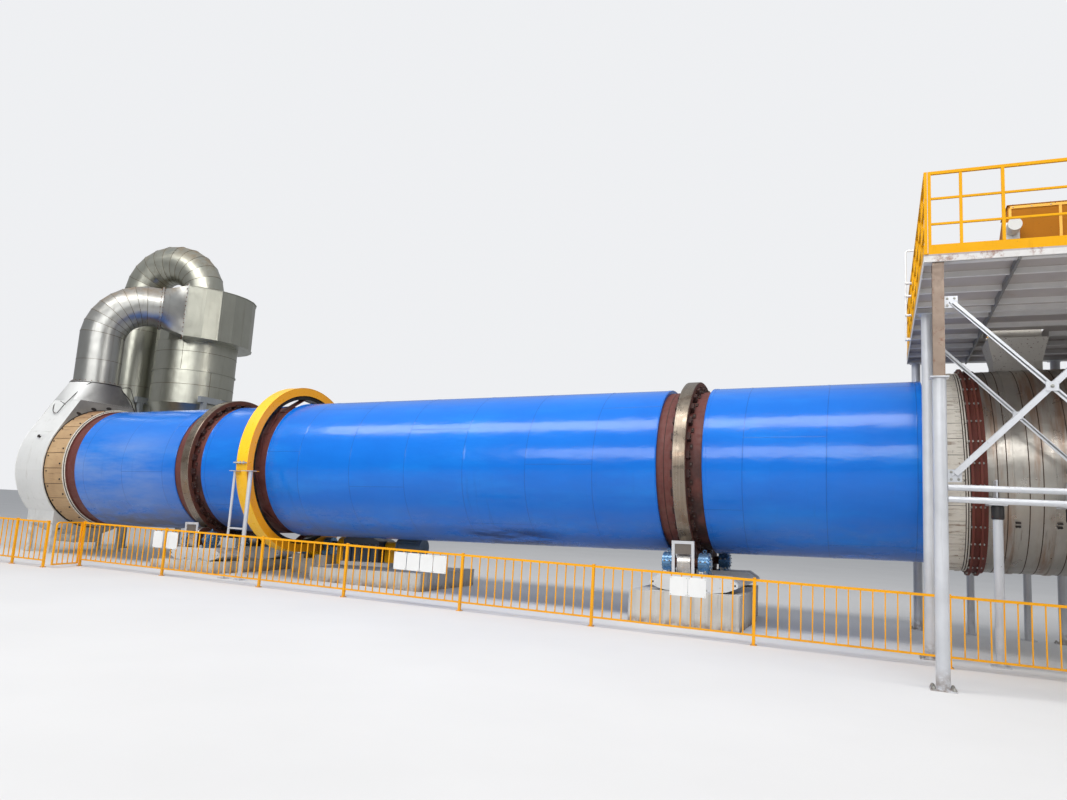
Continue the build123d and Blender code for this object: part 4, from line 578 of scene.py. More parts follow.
class Shape:
    """Points and faces gathered for one mesh."""

    def __init__(self):
        self.points = []
        self.faces = []

    def add(self, points, faces, at=Matrix()):
        first = len(self.points)
        self.points += [at @ Vector(p) for p in points]
        self.faces += [tuple(first + i for i in face) for face in faces]

    def skin(self, rows, at=Matrix(), closed=False):
        """Body over rows of points, each row a loop; it has end caps unless the rows close on themselves."""
        size, count = len(rows[0]), len(rows)
        faces = [] if closed else [tuple(range(size)), tuple(range(size * (count - 1), size * count))]
        for i in range(count if closed else count - 1):
            a, b = i * size, (i + 1) % count * size
            faces += [(a + k, a + (k + 1) % size, b + (k + 1) % size, b + k) for k in range(size)]
        self.add([p for row in rows for p in row], faces, at)

    def stack(self, levels, at=Matrix()):
        """Body over outlines with the same number of points, each given with its height."""
        self.skin([[(x, y, z) for x, y in outline] for outline, z in levels], at)

    def box(self, centre, size, at=Matrix(), cut=0.004):
        """Box with all its edges cut."""
        half_x, half_y, half_z = (v / 2 for v in size)
        cut = min(cut, half_x * 0.6, half_y * 0.6, half_z * 0.6)

        def ring(back):
            x, y = half_x - back, half_y - back
            return [(x, y - cut), (x - cut, y), (cut - x, y), (-x, y - cut),
                    (-x, cut - y), (cut - x, -y), (x - cut, -y), (x, cut - y)]

        ends = ring(cut * 0.9)
        self.stack([(ends, -half_z), (ring(0), cut - half_z), (ring(0), half_z - cut), (ends, half_z)],
                   at @ Matrix.Translation(centre))

    def bolt(self, at, size):
        """Washer, nut with cut corners and thread end, standing on local z = 0."""
        for levels in (((12, 1.05, 0), (12, 1.05, 0.16)), ((6, 0.88, 0.16), (6, 0.88, 0.74), (6, 0.74, 0.86)),
                       ((8, 0.48, 0.86), (8, 0.48, 1.15), (8, 0.38, 1.25))):
            self.stack([(ngon(sides, size * radius), size * height) for sides, radius, height in levels], at)

    def screw(self, point, size, direction=UP, base=Matrix()):
        """Bolt on a face, at a point of it."""
        self.bolt(spot(point, direction, base), size)

    def foot_bolts(self, x, y, z, reach, size):
        for a in (-reach, reach):
            for b in (-reach, reach):
                self.screw((x + a, y + b, z), size)

    def lathe(self, section, at=Matrix(), steps=144, start=0.0, sweep=360.0):
        """Turn a closed section of (x, radius) about X; 0 degrees is +Y and 90 is +Z."""
        whole = sweep >= 360.0
        stations = [math.radians(start + sweep * i / steps) for i in range(steps if whole else steps + 1)]
        self.skin([[(x, r * math.cos(t), r * math.sin(t)) for x, r in section] for t in stations], at, whole)

    def band(self, x0, x1, inner, outer):
        """Hoop round the drum's axis with cut outer edges."""
        cut = min(x1 - x0, outer - inner) * 0.3
        self.lathe([(x0, inner), (x1, inner), (x1, outer - cut), (x1 - cut, outer), (x0 + cut, outer),
                    (x0, outer - cut)], DRUM)

    def bead(self, x, radius, thick, at=DRUM, steps=144, start=0.0, sweep=360.0):
        """Hoop of round bar."""
        self.lathe([(x + a, radius + b) for a, b in ngon(8, thick)], at, steps, start, sweep)

    def leaf(self, levels, inner, outer, middle, steps=5):
        """Curved plate about the drum's axis; levels are (x, half angle in degrees)."""
        rows = []
        for x, half in levels:
            arc = [math.radians(middle - half + 2 * half * k / steps) for k in range(steps + 1)]
            loop = [(inner, t) for t in arc] + [(outer, t) for t in reversed(arc)]
            rows.append([(x, r * math.cos(t), r * math.sin(t)) for r, t in loop])
        self.skin(rows, DRUM)

    def rod(self, path, radius, at=Matrix(), sides=8, closed=False):
        """Round bar along a path."""
        path = [Vector(p) for p in path]
        side = (path[1] - path[0]).orthogonal().normalized()
        rows = []
        for i, point in enumerate(path):
            before = path[i - 1] if i or closed else point
            after = path[(i + 1) % len(path)] if i + 1 < len(path) or closed else point
            along = (after - before).normalized()
            side = (side - along * side.dot(along)).normalized()
            other = along.cross(side)
            rows.append([point + side * a + other * b for a, b in ngon(sides, radius)])
        self.skin(rows, at, closed)

    def hoop(self, centre, radius, thick, at=Matrix(), steps=56):
        """Level hoop of round bar."""
        self.rod(circle(centre, radius, steps=steps), thick, at, 6, True)

    def eye(self, centre, radius, thick, at):
        """Upright lifting eye."""
        self.rod(circle(centre, radius, up=UP, steps=20), thick, at, 6, True)

    def piece(self, name, look, slot, body="plant"):
        mesh = bpy.data.meshes.new(name)
        mesh.from_pydata([tuple(p) for p in self.points], [], self.faces)
        work = bmesh.new()
        work.from_mesh(mesh)
        bmesh.ops.recalc_face_normals(work, faces=work.faces)
        work.to_mesh(mesh)
        work.free()
        mesh.polygons.foreach_set("use_smooth", [True] * len(mesh.polygons))
        mesh.set_sharp_from_angle(angle=math.radians(32))
        mesh.materials.append(LOOK[look])
        made = bpy.data.objects.new(name, mesh)
        scene.collection.objects.link(made)
        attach(made, body)
        return made


# Drum: lagging edges and laps, bolts of the ring pads, rim of the wear ring
RINGS_AT = (0.0, -13.0)
FOOT = 0.016
SLEEVES = ((-17.4, -13.56, 1.712), (-12.62, -11.15, 1.712), (-10.44, -0.5, 1.755), (0.43, 4.4, 1.755))
laps = Shape()
for start, end, radius in SLEEVES:
    for x in (start + 0.006, end - 0.006):
        laps.bead(x, radius - 0.004, 0.011)
    for x in (start + 0.02, end - 0.075):
        laps.band(x, x + 0.055, radius - 0.003, radius + 0.005)
    for k in range(-12, 4):
        x = FIRST_SEAM + SHEET * k
        if start + 0.2 < x < end - 0.2:
            laps.lathe([(x, radius - 0.003), (x + 0.05, radius - 0.003), (x + 0.05, radius + 0.0006),
                        (x + 0.004, radius + 0.004), (x, radius + 0.004)], DRUM)
laps.piece("lagging_laps", "drum_blue", "drum_blue", "drum")

PAD_COUNT = 30
PAD_FACE = 0.1903
LUG_AT = 0.205
pad_bolts, pad_blocks = Shape(), Shape()
for ring_at in RINGS_AT:
    for i in range(PAD_COUNT):
        turn = 90 + i * 360 / PAD_COUNT
        for facing in (-1, 1):
            for shift in (-1.2, 1.2):
                pad_bolts.bolt(on_drum(ring_at + facing * PAD_FACE, 1.765, turn + shift, facing), 0.015)
        between = turn + 180 / PAD_COUNT
        # Dark wedges between the pad lugs: painted shade in the gaps under the ring
        pad_blocks.box((0, 0, 0.012), (0.06, 0.10, 0.028), on_drum(ring_at + LUG_AT, 1.69, between))
        pad_bolts.bolt(on_drum(ring_at + LUG_AT, 1.715, between), 0.019)
    # Dark bands on the shell beside each ring: painted shade in the crease
    for x in (-0.36, 0.40):
        pad_blocks.band(ring_at + x, ring_at + x + 0.016, 1.688, 1.694)
pad_bolts.piece("ring_pad_bolts", "bolt_dull", "rusty_steel", "drum")
pad_blocks.piece("ring_pad_wedges", "pads_in_painted_shade", "primer", "drum")

rim = Shape()
rim.band(-17.79, -17.765, 1.733, 1.757)
rim.piece("wear_ring_rim", "seal_white", "seal_white", "drum")

# Discharge hood: wrapper close round the seal, front and back plates, square-to-round top, outlet, legs
HOOD_FRONT, HOOD_BACK = -18.59, -19.76
HOOD_AXIS, HOOD_RADIUS = 2.562, 1.84
HOOD_SHOULDER, SHOULDER_HALF = 4.58, 0.935
HOOD_MOUTH = 1.771
HOOD_STEPS = 144
RISER_X, RISER_RADIUS, RISER_FOOT = -19.25, 0.71, 5.219


def hood_edge(turn, out=0.0):
    """Place (y, z) on the hood's outline at an angle from +Y, or that far out from it."""
    across, up = abs(math.cos(turn)), math.sin(turn)
    rise = HOOD_SHOULDER - HOOD_AXIS
    lean = math.atan2(rise, SHOULDER_HALF) - math.acos(HOOD_RADIUS / math.hypot(rise, SHOULDER_HALF))
    reach = HOOD_RADIUS
    if math.atan2(up, across) > lean:
        flank = HOOD_RADIUS / max(0.05, across * math.cos(lean) + up * math.sin(lean))
        reach = min(flank, rise / max(0.05, up))
    return (reach + out) * math.cos(turn), HOOD_AXIS + (reach + out) * math.sin(turn)


hood = Shape()
mouth = [(y, HOOD_AXIS + z) for y, z in ngon(HOOD_STEPS, HOOD_MOUTH)]
outline = [hood_edge(t) for t in turns(HOOD_STEPS)]
hood.skin([[(x, y, z) for y, z in loop] for x, loop in (
    (HOOD_BACK + 0.02, mouth), (HOOD_FRONT, mouth), (HOOD_FRONT, outline), (HOOD_BACK, outline))])

ARC = 14
corners = [(HOOD_FRONT, 1), (HOOD_BACK, 1), (HOOD_BACK, -1), (HOOD_FRONT, -1)]
top_points = [(x, side * SHOULDER_HALF, HOOD_SHOULDER) for x, side in corners]
top_points += [(RISER_X + a, b, RISER_FOOT) for a, b in ngon(4 * ARC, RISER_RADIUS)]
top_faces = [(0, 1, 2, 3), tuple(range(4, 4 + 4 * ARC))]
for q in range(4):
    top_faces += [(q, 4 + k, 4 + (k + 1) % (4 * ARC)) for k in range(q * ARC, (q + 1) * ARC)]
    top_faces.append((q, (q + 1) % 4, 4 + (q + 1) % 4 * ARC))
hood.add(top_points, top_faces)

rectangle = [(-18.75, 0.40), (-19.75, 0.40), (-19.75, -0.40), (-18.75, -0.40)]
flare = [(x + 0.06 * (1 if x > RISER_X else -1), y * 1.15) for x, y in rectangle]
skirt = [(x + (0.14 if x > RISER_X else 0), y * 3.15) for x, y in rectangle]
hood.stack([(skirt, 1.36), (skirt, 0.86), (rectangle, 0.52), (rectangle, 0.32)])
hood.stack([(flare, 0.300), (flare, 0.322)])
for x in (-18.74, -19.64):
    for side in (-1, 1):
        hood.box((x, side * 1.15, 0.62), (0.12, 0.12, 1.22))
        hood.box((x, side * 1.15, FOOT / 2), (0.20, 0.20, FOOT))
        hood.box((x, side * 1.05, 1.10), (0.10, 0.24, 0.14))
for x in (HOOD_FRONT, HOOD_BACK):
    hood.rod([(x, y, z) for y, z in outline], 0.008, sides=6, closed=True)
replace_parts(hood.piece("hood_wrapper", "hood_paint", "hood_grey"), "discharge_hood")

fittings = Shape()
fittings.hoop((RISER_X, 0, 5.200), 0.722, 0.016, steps=48)
for path, thick in (
        ([(-18.74, -0.55, 5.19), (-18.86, -0.72, 5.02), (-19.03, -1.10, 4.44), (-19.10, -1.258, 4.133),
          (-19.22, -1.27, 4.13), (-19.42, -1.18, 4.22), (-19.58, -1.06, 4.385), (-19.68, -0.93, 4.53),
          (-19.70, -0.863, 4.60)], 0.012),
        ([(-19.66, -0.90, 4.60), (-19.38, -0.97, 4.52), (-19.10, -1.027, 4.427)], 0.010),
        ([(-18.88, 0.62, 5.20), (-18.9, 0.817, 5.246), (-18.9, 0.93, 5.262), (-18.9, 1.012, 5.235),
          (-18.9, 1.06, 5.13), (-18.9, 1.329, 4.585), (-18.9, 1.34, 4.30), (-18.9, 1.28, 4.18)], 0.012),
        ([(-18.64, 0.42, 5.14), (-18.585, 0.80, 4.80), (-18.585, 0.945, 4.57), (-18.585, 1.30, 4.02)], 0.014)):
    fittings.rod(path, thick)
# Three thin dark ovals on the front plate stand for its slots: painted shade of the openings
for y, z, turn in ((-0.923, 4.157, 22), (-0.455, 4.359, 8), (0.061, 4.449, -2)):
    oval = [(a * 0.095, b * 0.045) for a, b in ngon(16, 1.0)]
    fittings.stack([(oval, -0.002), (oval, 0.003)],
                   turned(90, "Y", (HOOD_FRONT, y, z)) @ turned(90 - turn * 0.8, "Z"))
fittings.stack([(ngon(16, radius), z) for radius, z in ((0.030, 0), (0.026, 0.05), (0.050, 0.055), (0.044, 0.075))],
               spot((-19.12, -1.655, 3.360), (0, -0.90, 0.44)))
fittings.lathe([(HOOD_FRONT + a, HOOD_MOUTH + b) for a, b in (
    (-0.002, 0.001), (0.006, 0.001), (0.006, 0.036), (-0.002, 0.036))], Matrix.Translation((0, 0, HOOD_AXIS)))
fittings.piece("hood_rods_and_slots", "dark_steel", "rusty_steel")
seams = Shape()
for degrees in (186, 354, 214, 326, 148, 32):
    place = hood_edge(math.radians(degrees), 0.001)
    seams.rod([(HOOD_FRONT - 0.02, *place), (HOOD_BACK + 0.02, *place)], 0.005, sides=6)
seams.box((HOOD_BACK - 0.012, 0, 2.35), (0.022, 0.75, 0.95), cut=0.008)
for z in (2.02, 2.68):
    seams.box((HOOD_BACK - 0.028, -0.40, z), (0.03, 0.10, 0.06))
    seams.rod([(HOOD_BACK - 0.034, -0.36, z - 0.06), (HOOD_BACK - 0.034, -0.36, z + 0.06)], 0.014)
seams.rod([(HOOD_BACK - out, 0.27, z) for out, z in ((0.02, 2.24), (0.075, 2.26), (0.075, 2.44), (0.02, 2.46))],
          0.011)
seams.piece("hood_seams_and_door", "hood_paint", "hood_grey")

# Discharge seal: tan boards that lap, with their bolts and an edge hoop
BOARDS = 25
BOARD_BACK, BOARD_RADIUS = -18.60, 1.776
boards, board_bolts = Shape(), Shape()
for i in range(BOARDS):
    middle = 90 + i * 360 / BOARDS
    half = 180 / BOARDS
    face = BOARD_RADIUS + 0.002 * (i % 2)
    boards.leaf([(BOARD_BACK, half - 0.22), (-17.84, half - 0.22)], 1.768, face, middle)
    boards.leaf([(BOARD_BACK, 0.75), (-17.845, 0.75)], 1.774, face + 0.008, middle + half - 1.3, 2)
    board_bolts.bolt(on_drum(-17.95, face, middle + half - 4.2), 0.026)
    board_bolts.bolt(on_drum(-18.50, face, middle - half + 2.6), 0.022)
boards.piece("discharge_seal_boards", "seal_tan", "seal_tan")
board_bolts.piece("discharge_seal_bolts", "dark_steel", "rusty_steel")
hoop = Shape()
hoop.band(-17.838, -17.806, 1.766, 1.788)
hoop.piece("discharge_seal_hoop", "seal_white", "seal_white")

# Feed seal: leaves with pointed gaps, keeper bars, edge strips, and the bolts of the flange ring
LEAVES, KEEPERS, RING_BOLTS = 40, 120, 32
leaves, keepers, ring_bolts = Shape(), Shape(), Shape()
for i in range(LEAVES):
    half = 180 / LEAVES
    leaves.leaf([(4.49, half - 1.5), (4.70, half - 0.16), (4.955, half - 0.16)], 1.869, 1.877 + 0.002 * (i % 2),
                90 + i * 360 / LEAVES, 3)
leaves.piece("feed_seal_leaves", "feed_seal_paint", "seal_white")
for i in range(KEEPERS):
    keepers.box((0, 0, 0.004), (0.075, 0.026, 0.014), on_drum(4.90, 1.879, i * 360 / KEEPERS))
for x in (4.972, 5.014):
    keepers.band(x, x + 0.022, 1.868, 1.888)
keepers.piece("feed_seal_keepers", "seal_white", "seal_white")
for i in range(RING_BOLTS):
    for x, facing in ((5.05, -1), (5.09, 1), (5.19, -1), (5.23, 1)):
        ring_bolts.bolt(on_drum(x, 1.937, i * 360 / RING_BOLTS, facing), 0.022)
ring_bolts.piece("feed_flange_bolts", "bolt_zinc", "tread_steel")

# Chamber: straps of two kinds, band clamps, collars on the front legs
for name, look, slot, wide, inner, outer, places in (
        ("chamber_straps", "chamber_jacket", "chamber_steel", 0.03, 1.887, 1.896, (6.62, 6.88, 7.52, 8.40, 8.82)),
        ("chamber_dark_straps", "strap_brown", "rusty_steel", 0.016, 1.886, 1.8935,
         (5.44, 5.58, 5.90, 6.10, 6.48, 6.76, 6.96, 7.30, 7.42, 7.74, 8.22, 8.60, 9.00))):
    straps = Shape()
    for x in places:
        straps.band(x, x + wide, inner, outer)
    straps.piece(name, look, slot)
clamps = Shape()
for x in (5.735, 6.335, 7.145, 8.045, 9.195):
    for shift in (-1.1, 1.1):
        clamps.box((0, 0, 0.02), (0.085, 0.014, 0.05), on_drum(x, 1.902, 212 + shift))
    for side in (-0.022, 0.022):
        clamps.bolt(on_drum(x + side, 1.925, 213.3) @ turned(90, "X"), 0.014)
for x in (5.39, 6.43, 8.6):
    for y in (-2.25, 2.25):
        clamps.stack([(ngon(28, radius), z) for radius, z in (
            (0.080, 2.33), (0.096, 2.345), (0.096, 2.53), (0.086, 2.555))], Matrix.Translation((x, y, 0)))
clamps.piece("chamber_clamps_and_collars", "dark_steel", "rusty_steel")

# Roller stations: end covers, joint lugs, lifting eyes, bolts, adjusting screws, anchor lugs, guard mesh
BEARING_AT, BEARING_END = 0.36, 0.46
covers, station_bolts, lugs, wires = Shape(), Shape(), Shape(), Shape()
for ring_at in RINGS_AT:
    for side in (-1, 1):
        at = DRUM @ Matrix.Translation((ring_at, side * ROLLER_Y, ROLLER_Z))
        for end in (-1, 1):
            covers.lathe([(end * (BEARING_END + out), radius) for out, radius in (
                (-0.004, 0.0), (-0.004, 0.150), (0.014, 0.150), (0.020, 0.144), (0.020, 0.100), (0.034, 0.088),
                (0.034, 0.0))], at, 40)
            for t in turns(8, 0.5):
                station_bolts.screw((end * (BEARING_END + 0.020), 0.122 * math.cos(t), 0.122 * math.sin(t)), 0.018,
                                    (end, 0, 0), at)
            for wide in (-1, 1):
                covers.box((end * BEARING_AT, wide * 0.212, 0), (0.17, 0.062, 0.056), at, 0.006)
                for x in (0.31, 0.41):
                    station_bolts.screw((end * x, wide * 0.222, 0.028), 0.024, base=at)
                for x in (0.305, 0.415):
                    station_bolts.screw((end * x, wide * 0.250, -0.176), 0.032, base=at)
                lugs.box((end * BEARING_AT, wide * 0.345, -0.185), (0.07, 0.026, 0.075), at)
                station_bolts.screw((end * BEARING_AT, wide * 0.356, -0.182), 0.022, (0, wide, 0), at)
            covers.eye((end * BEARING_AT, 0, 0.236), 0.03, 0.009, at)
            covers.stack([(ngon(12, 0.026), 0.192), (ngon(12, 0.020), 0.212)],
                         at @ Matrix.Translation((end * BEARING_AT, 0, 0)))
        for wide in (-1, 1):
            for x in (-0.245, 0.245):
                lugs.box((ring_at + LUG_AT + x, side * ROLLER_Y + wide * 0.42, -2.463), (0.15, 0.10, 0.032), DRUM)
                station_bolts.screw((ring_at + LUG_AT + x, side * ROLLER_Y + wide * 0.43, -2.447), 0.034, base=DRUM)
        out = side * 1.4665
        wires.box((ring_at, side * 1.4648, -1.6305), (0.328, 0.0016, 0.257), DRUM, 0.0004)
        for x in (ring_at + k * 0.02 for k in range(-8, 9)):
            wires.rod([(x, out, -1.757), (x, out, -1.503)], 0.0022, DRUM, 4)
        for z in (-1.752 + k * 0.02 for k in range(13)):
            wires.rod([(ring_at + x, out + side * 0.002, z) for x in (-0.163, 0.163)], 0.0022, DRUM, 4)
covers.piece("bearing_covers_and_eyes", "bearing_blue", "bearing_paint")
station_bolts.piece("roller_station_bolts", "bolt_zinc", "tread_steel")
lugs.piece("base_frame_lugs", "frame_white", "frame_white")
wires.piece("roller_guard_mesh", "mesh_grey", "silver_paint")

# Gear guard: rolled edges and joint bolts
beads, joint_bolts = Shape(), Shape()
for x in (-10.957, -10.623):
    beads.bead(x, 2.196, 0.008, DRUM, 160, 310.0, 336.0)
beads.piece("gear_guard_edges", "guard_paint", "guard_yellow")
for side in (-1, 1):
    for x in (-10.90, -10.79, -10.68):
        for up in (-1, 1):
            joint_bolts.screw((x, side * 2.262, up * 0.015), 0.026, (0, 0, up), DRUM)
joint_bolts.piece("gear_guard_bolts", "bolt_zinc", "tread_steel")

# Drive: joint and bed bolts, inspection cover, eyes, fan grille
PINION = DRUM @ Matrix.Translation((0, 1.0563, -1.9866))
GEARBOX_AT = -9.23
drive_bolts, drive_covers, grille = Shape(), Shape(), Shape()
for side in (-1, 1):
    for k in range(6):
        for up in (-1, 1):
            drive_bolts.screw((-9.66 + k * 0.2, side * 0.402, up * 0.02), 0.022, (0, 0, up), PINION)
    for x in (-9.62, -9.2, -8.78, -8.36):
        drive_bolts.screw((x, side * 0.42, -0.42), 0.03, base=PINION)
for y in (-0.135, 0, 0.135):
    for share in (-1, -0.33, 0.33, 1):
        if y or abs(share) == 1:
            drive_bolts.screw((GEARBOX_AT + share * 0.175, y, 0.288), 0.016, base=PINION)
drive_bolts.piece("drive_bolts", "bolt_zinc", "tread_steel")
drive_covers.box((GEARBOX_AT, 0, 0.279), (0.42, 0.34, 0.020), PINION)
for x in (-9.48, -8.98):
    drive_covers.eye((x, 0.0, 0.296), 0.032, 0.009, PINION)
drive_covers.piece("gearbox_cover", "gearbox_paint", "motor_grey")
for radius in (0.05, 0.085, 0.12, 0.155, 0.19):
    grille.bead(-7.419, radius, 0.004, PINION, 40)
for t in turns(8)[:4]:
    y, z = 0.2 * math.cos(t), 0.2 * math.sin(t)
    grille.rod([(-7.416, -y, -z), (-7.416, y, z)], 0.004, PINION, 6)
grille.eye((-7.80, 0, 0.262), 0.03, 0.008, PINION)
grille.piece("motor_grille_and_eye", "motor_grey", "motor_grey")

# Duct and cyclone: weld beads on the gores, flange bolts
DUCT = turned(49.5, "Z", (RISER_X, 0, 0))
BARREL = Matrix.Translation((DUCT @ Matrix.Translation((2.89, 1.675, 0))).translation)
OUTLET = BARREL @ turned(193, "Z")
BARREL_WELD, BRANCH_Z = 1.352, 7.98
welds, duct_bolts = Shape(), Shape()


def gore_welds(x, z, bend, pipe, step, count, at):
    """Bead along each mitre of a bend that starts upward at its left."""
    mitre = 1 / math.cos(math.radians(step / 2))
    for i in range(count):
        turn = math.radians(180 - (i + 0.5) * step)
        out = Vector((math.cos(turn), 0, math.sin(turn))) * mitre
        loop = circle(Vector((x, 0, z)) + out * bend, 1.0, out * (pipe + 0.001), (0, pipe + 0.001, 0), 56)
        welds.rod(loop, 0.007, at, 6, True)


gore_welds(1.3, 6.68, 1.3, 0.65, 11.25, 8, DUCT)
gore_welds(1.18, 8.95, 1.18, 0.68, 15.0, 12, OUTLET)
welds.hoop((0, 0, 5.95), 0.651, 0.006, DUCT)
for z in (3.4, 5.6, 7.6):
    welds.hoop((2.36, 0, z), 0.681, 0.006, OUTLET)
for radius, z in ((BARREL_WELD, 5.62), (BARREL_WELD, 6.75), (0.80, 3.45), (1.08, 4.18)):
    welds.hoop((0, 0, z), radius, 0.007, BARREL, 72)
for degrees, low, high in ((-62, 6.135, 7.10), (-20, 5.02, 6.09), (150, 5.02, 6.09), (100, 6.135, 7.10)):
    x, y = BARREL_WELD * math.cos(math.radians(degrees)), BARREL_WELD * math.sin(math.radians(degrees))
    welds.rod([(x, y, low), (x, y, high)], 0.007, BARREL, 6)
welds.piece("duct_welds", "weld_brown", "duct_steel")

for t in turns(24, 0.5):
    a, b = 0.683 * math.cos(t), 0.683 * math.sin(t)
    duct_bolts.screw((a, b, 5.244), 0.02, base=DUCT)
    for x, facing in ((1.566, -1), (1.617, 1)):
        duct_bolts.screw((x, a, BRANCH_Z + b), 0.02, (facing, 0, 0), DUCT)
for side in (-1, 1):
    flank = [(side * 0.357, (k - 6) * 0.145) for k in range(13)]
    end = [((k - 1.5) * 0.15, side * 0.881) for k in range(4)]
    for y, z in flank + end:
        duct_bolts.screw((2.306, y, BRANCH_Z + z), 0.022, (-1, 0, 0), DUCT)
for a, b in ngon(12, 0.338):
    duct_bolts.screw((a, b, 2.09), 0.018, (0, 0, -1), BARREL)
duct_bolts.piece("duct_flange_bolts", "bolt_rusty", "rusty_steel")

# Platform: deck ribs, braces' legs and plates, bolts, railing feet, lamp, conveyor rims
COLUMNS_X, FRONT_Y, BRACED_Y, REAR_Y = (4.38, 7.04, 9.70), -5.09, -2.23, 2.18
BRACE_LOW, BRACE_HIGH = 2.83, 5.27
BRACE_MIDDLE = (BRACE_LOW + BRACE_HIGH) / 2
RAIL_LEFT, RAIL_RIGHT, RAIL_FRONT, RAIL_BACK = 4.23, 9.85, -5.17, 2.26
ribs, platform_bolts, braces = Shape(), Shape(), Shape()
for x in (5.38, 7.30, 8.85):
    ribs.box((x, -1.455, 5.868), (0.034, 7.45, 0.116))
ribs.piece("deck_ribs", "rib_grey", "frame_white")
for y in (FRONT_Y, BRACED_Y):
    for x0, x1 in zip(COLUMNS_X, COLUMNS_X[1:]):
        middle = (x0 + x1) / 2
        for z in (BRACE_LOW, BRACE_HIGH):
            grip = 0.075 if z == BRACE_HIGH and y == FRONT_Y else 0.09
            for x in (x0 + grip, x1 - grip - 0.17):
                for a in (0.04, 0.13):
                    for b in (-0.05, 0.05):
                        platform_bolts.screw((x + a, y - 0.008, z + b), 0.018, (0, -1, 0))
        run, rise = x1 - x0 - 0.33, BRACE_HIGH - BRACE_LOW
        for side in (-1, 1):
            leg = turned(side * math.degrees(math.atan2(rise, run)), "Y",
                         (middle, y - 0.038 + side * 0.0045, BRACE_MIDDLE))
            braces.box((0, 0, 0), (math.hypot(run, rise) - 0.05, 0.008, 0.072), leg, 0.002)
        braces.box((middle, y - 0.053, BRACE_MIDDLE), (0.15, 0.012, 0.13))
        platform_bolts.screw((middle, y - 0.059, BRACE_MIDDLE), 0.024, (0, -1, 0))
for x in COLUMNS_X:
    for y in (FRONT_Y, BRACED_Y, REAR_Y):
        platform_bolts.foot_bolts(x, y, FOOT, 0.122, 0.03)
for y in (2.45, 4.77):
    for side in (-1, 1):
        platform_bolts.foot_bolts(BARREL.translation.x + side * 1.48, y, FOOT, 0.112, 0.028)
braces.piece("brace_legs_and_plates", "silver_paint", "silver_paint")
platform_bolts.piece("platform_and_stand_bolts", "bolt_zinc", "tread_steel")

feet = Shape()
for k in range(7):
    for y in (RAIL_FRONT, RAIL_BACK):
        feet.box((4.302 + k * 5.476 / 6, y, 5.956), (0.10, 0.052, 0.012))
for k in range(9):
    for x in (RAIL_LEFT, RAIL_RIGHT):
        feet.box((x, RAIL_FRONT + k * 7.43 / 8, 5.956), (0.052, 0.10, 0.012))
feet.box((4.68, RAIL_FRONT, 6.55), (0.040, 0.040, 1.19))
feet.piece("railing_feet", "rail_yellow", "guard_yellow")

lamp = Shape()
lamp.rod([(x, 0, z) for x, z in ((4.120, 5.90), (4.120, 7.70), (4.126, 7.735), (4.152, 7.755), (4.36, 7.76))],
         0.021, sides=12)
lamp.box((4.160, 0, 5.90), (0.11, 0.09, 0.05))
for z in (6.40, 6.80, 7.07):
    lamp.box((4.175, 0, z), (0.15, 0.075, 0.034))
lamp.stack([(ngon(20, radius), z) for radius, z in ((0.030, 0), (0.062, 0.03), (0.070, 0.10), (0.052, 0.105))],
           spot((4.375, 0, 7.80), (0.15, 0, -1)))
lamp.piece("platform_lamp", "plate_white", "silver_paint")

HEAD_LOW, HEAD_MIDDLE, HEAD_HIGH = 7.585, 7.96, 8.335
conveyor_rims, conveyor_bolts = Shape(), Shape()
for side in (-1, 1):
    y = side * 0.436
    conveyor_rims.box((7.86, y, HEAD_HIGH), (3.86, 0.020, 0.060))
    conveyor_rims.box((7.83, y, HEAD_LOW), (3.94, 0.020, 0.060))
    for x in (5.93, 6.75, 7.63, 8.51, 9.40, 9.775):
        conveyor_rims.box((x, y, HEAD_MIDDLE), (0.050, 0.020, 0.70))
    for x in (5.98 + k * 0.31 for k in range(13)):
        conveyor_bolts.screw((x, side * 0.442, 8.382), 0.010)
        for z in (HEAD_HIGH, HEAD_LOW):
            conveyor_bolts.screw((x, side * 0.446, z), 0.012, (0, side, 0))
conveyor_rims.piece("conveyor_rims", "conveyor_rim", "conveyor_yellow")
conveyor_bolts.piece("conveyor_bolts", "bolt_zinc", "tread_steel")

# Fence: post caps, base bolts, bare plates; the gate's latch
FENCE_Y, LEFT_FENCE_Y, GATE_X = -3.06, -3.989, -14.955
POSTS = [(x, FENCE_Y) for x in (-14.9, -12.06, -9.09, -6.79, -4.0, -1.25, 1.655, 4.61, 7.5)]
POSTS += [(x, LEFT_FENCE_Y) for x in (-17.6, -16.1, GATE_X)]
caps, fence_bolts, plates, latch = Shape(), Shape(), Shape(), Shape()
for x, y in POSTS:
    square = [(0.030, 0.030), (-0.030, 0.030), (-0.030, -0.030), (0.030, -0.030)]
    caps.stack([(square, 0), (square, 0.006), ([(a * 0.3, b * 0.3) for a, b in square], 0.016)],
               Matrix.Translation((x, y, 1.108)))
    fence_bolts.foot_bolts(x, y, 0.010, 0.037, 0.011)
caps.piece("fence_post_caps", "fence_yellow", "fence_yellow")
for low, high, spans in ((0.70, 1.03, ((0.195, 0.512), (0.523, 0.84))),
                         (0.645, 1.035, ((-12.44, -12.13), (-12.0, -11.65))),
                         (0.683, 1.035, ((-5.59, -5.29), (-5.277, -4.977), (-4.963, -4.663), (-4.65, -4.35)))):
    for x0, x1 in spans:
        middle = (x0 + x1) / 2
        plates.box((middle, -3.0885, (low + high) / 2), (x1 - x0, 0.007, high - low), cut=0.003)
        for x in (x0 + 0.02, x1 - 0.02):
            for z in (low + 0.02, high - 0.02):
                fence_bolts.screw((x, -3.092, z), 0.007, (0, -1, 0))
        for z in (low + 0.09, high - 0.05):
            plates.box((middle, -3.0795, z), (x1 - x0 - 0.05, 0.012, 0.020))
plates.piece("fence_plates", "plate_white", "silver_paint")
fence_bolts.piece("fence_bolts", "bolt_zinc", "tread_steel")
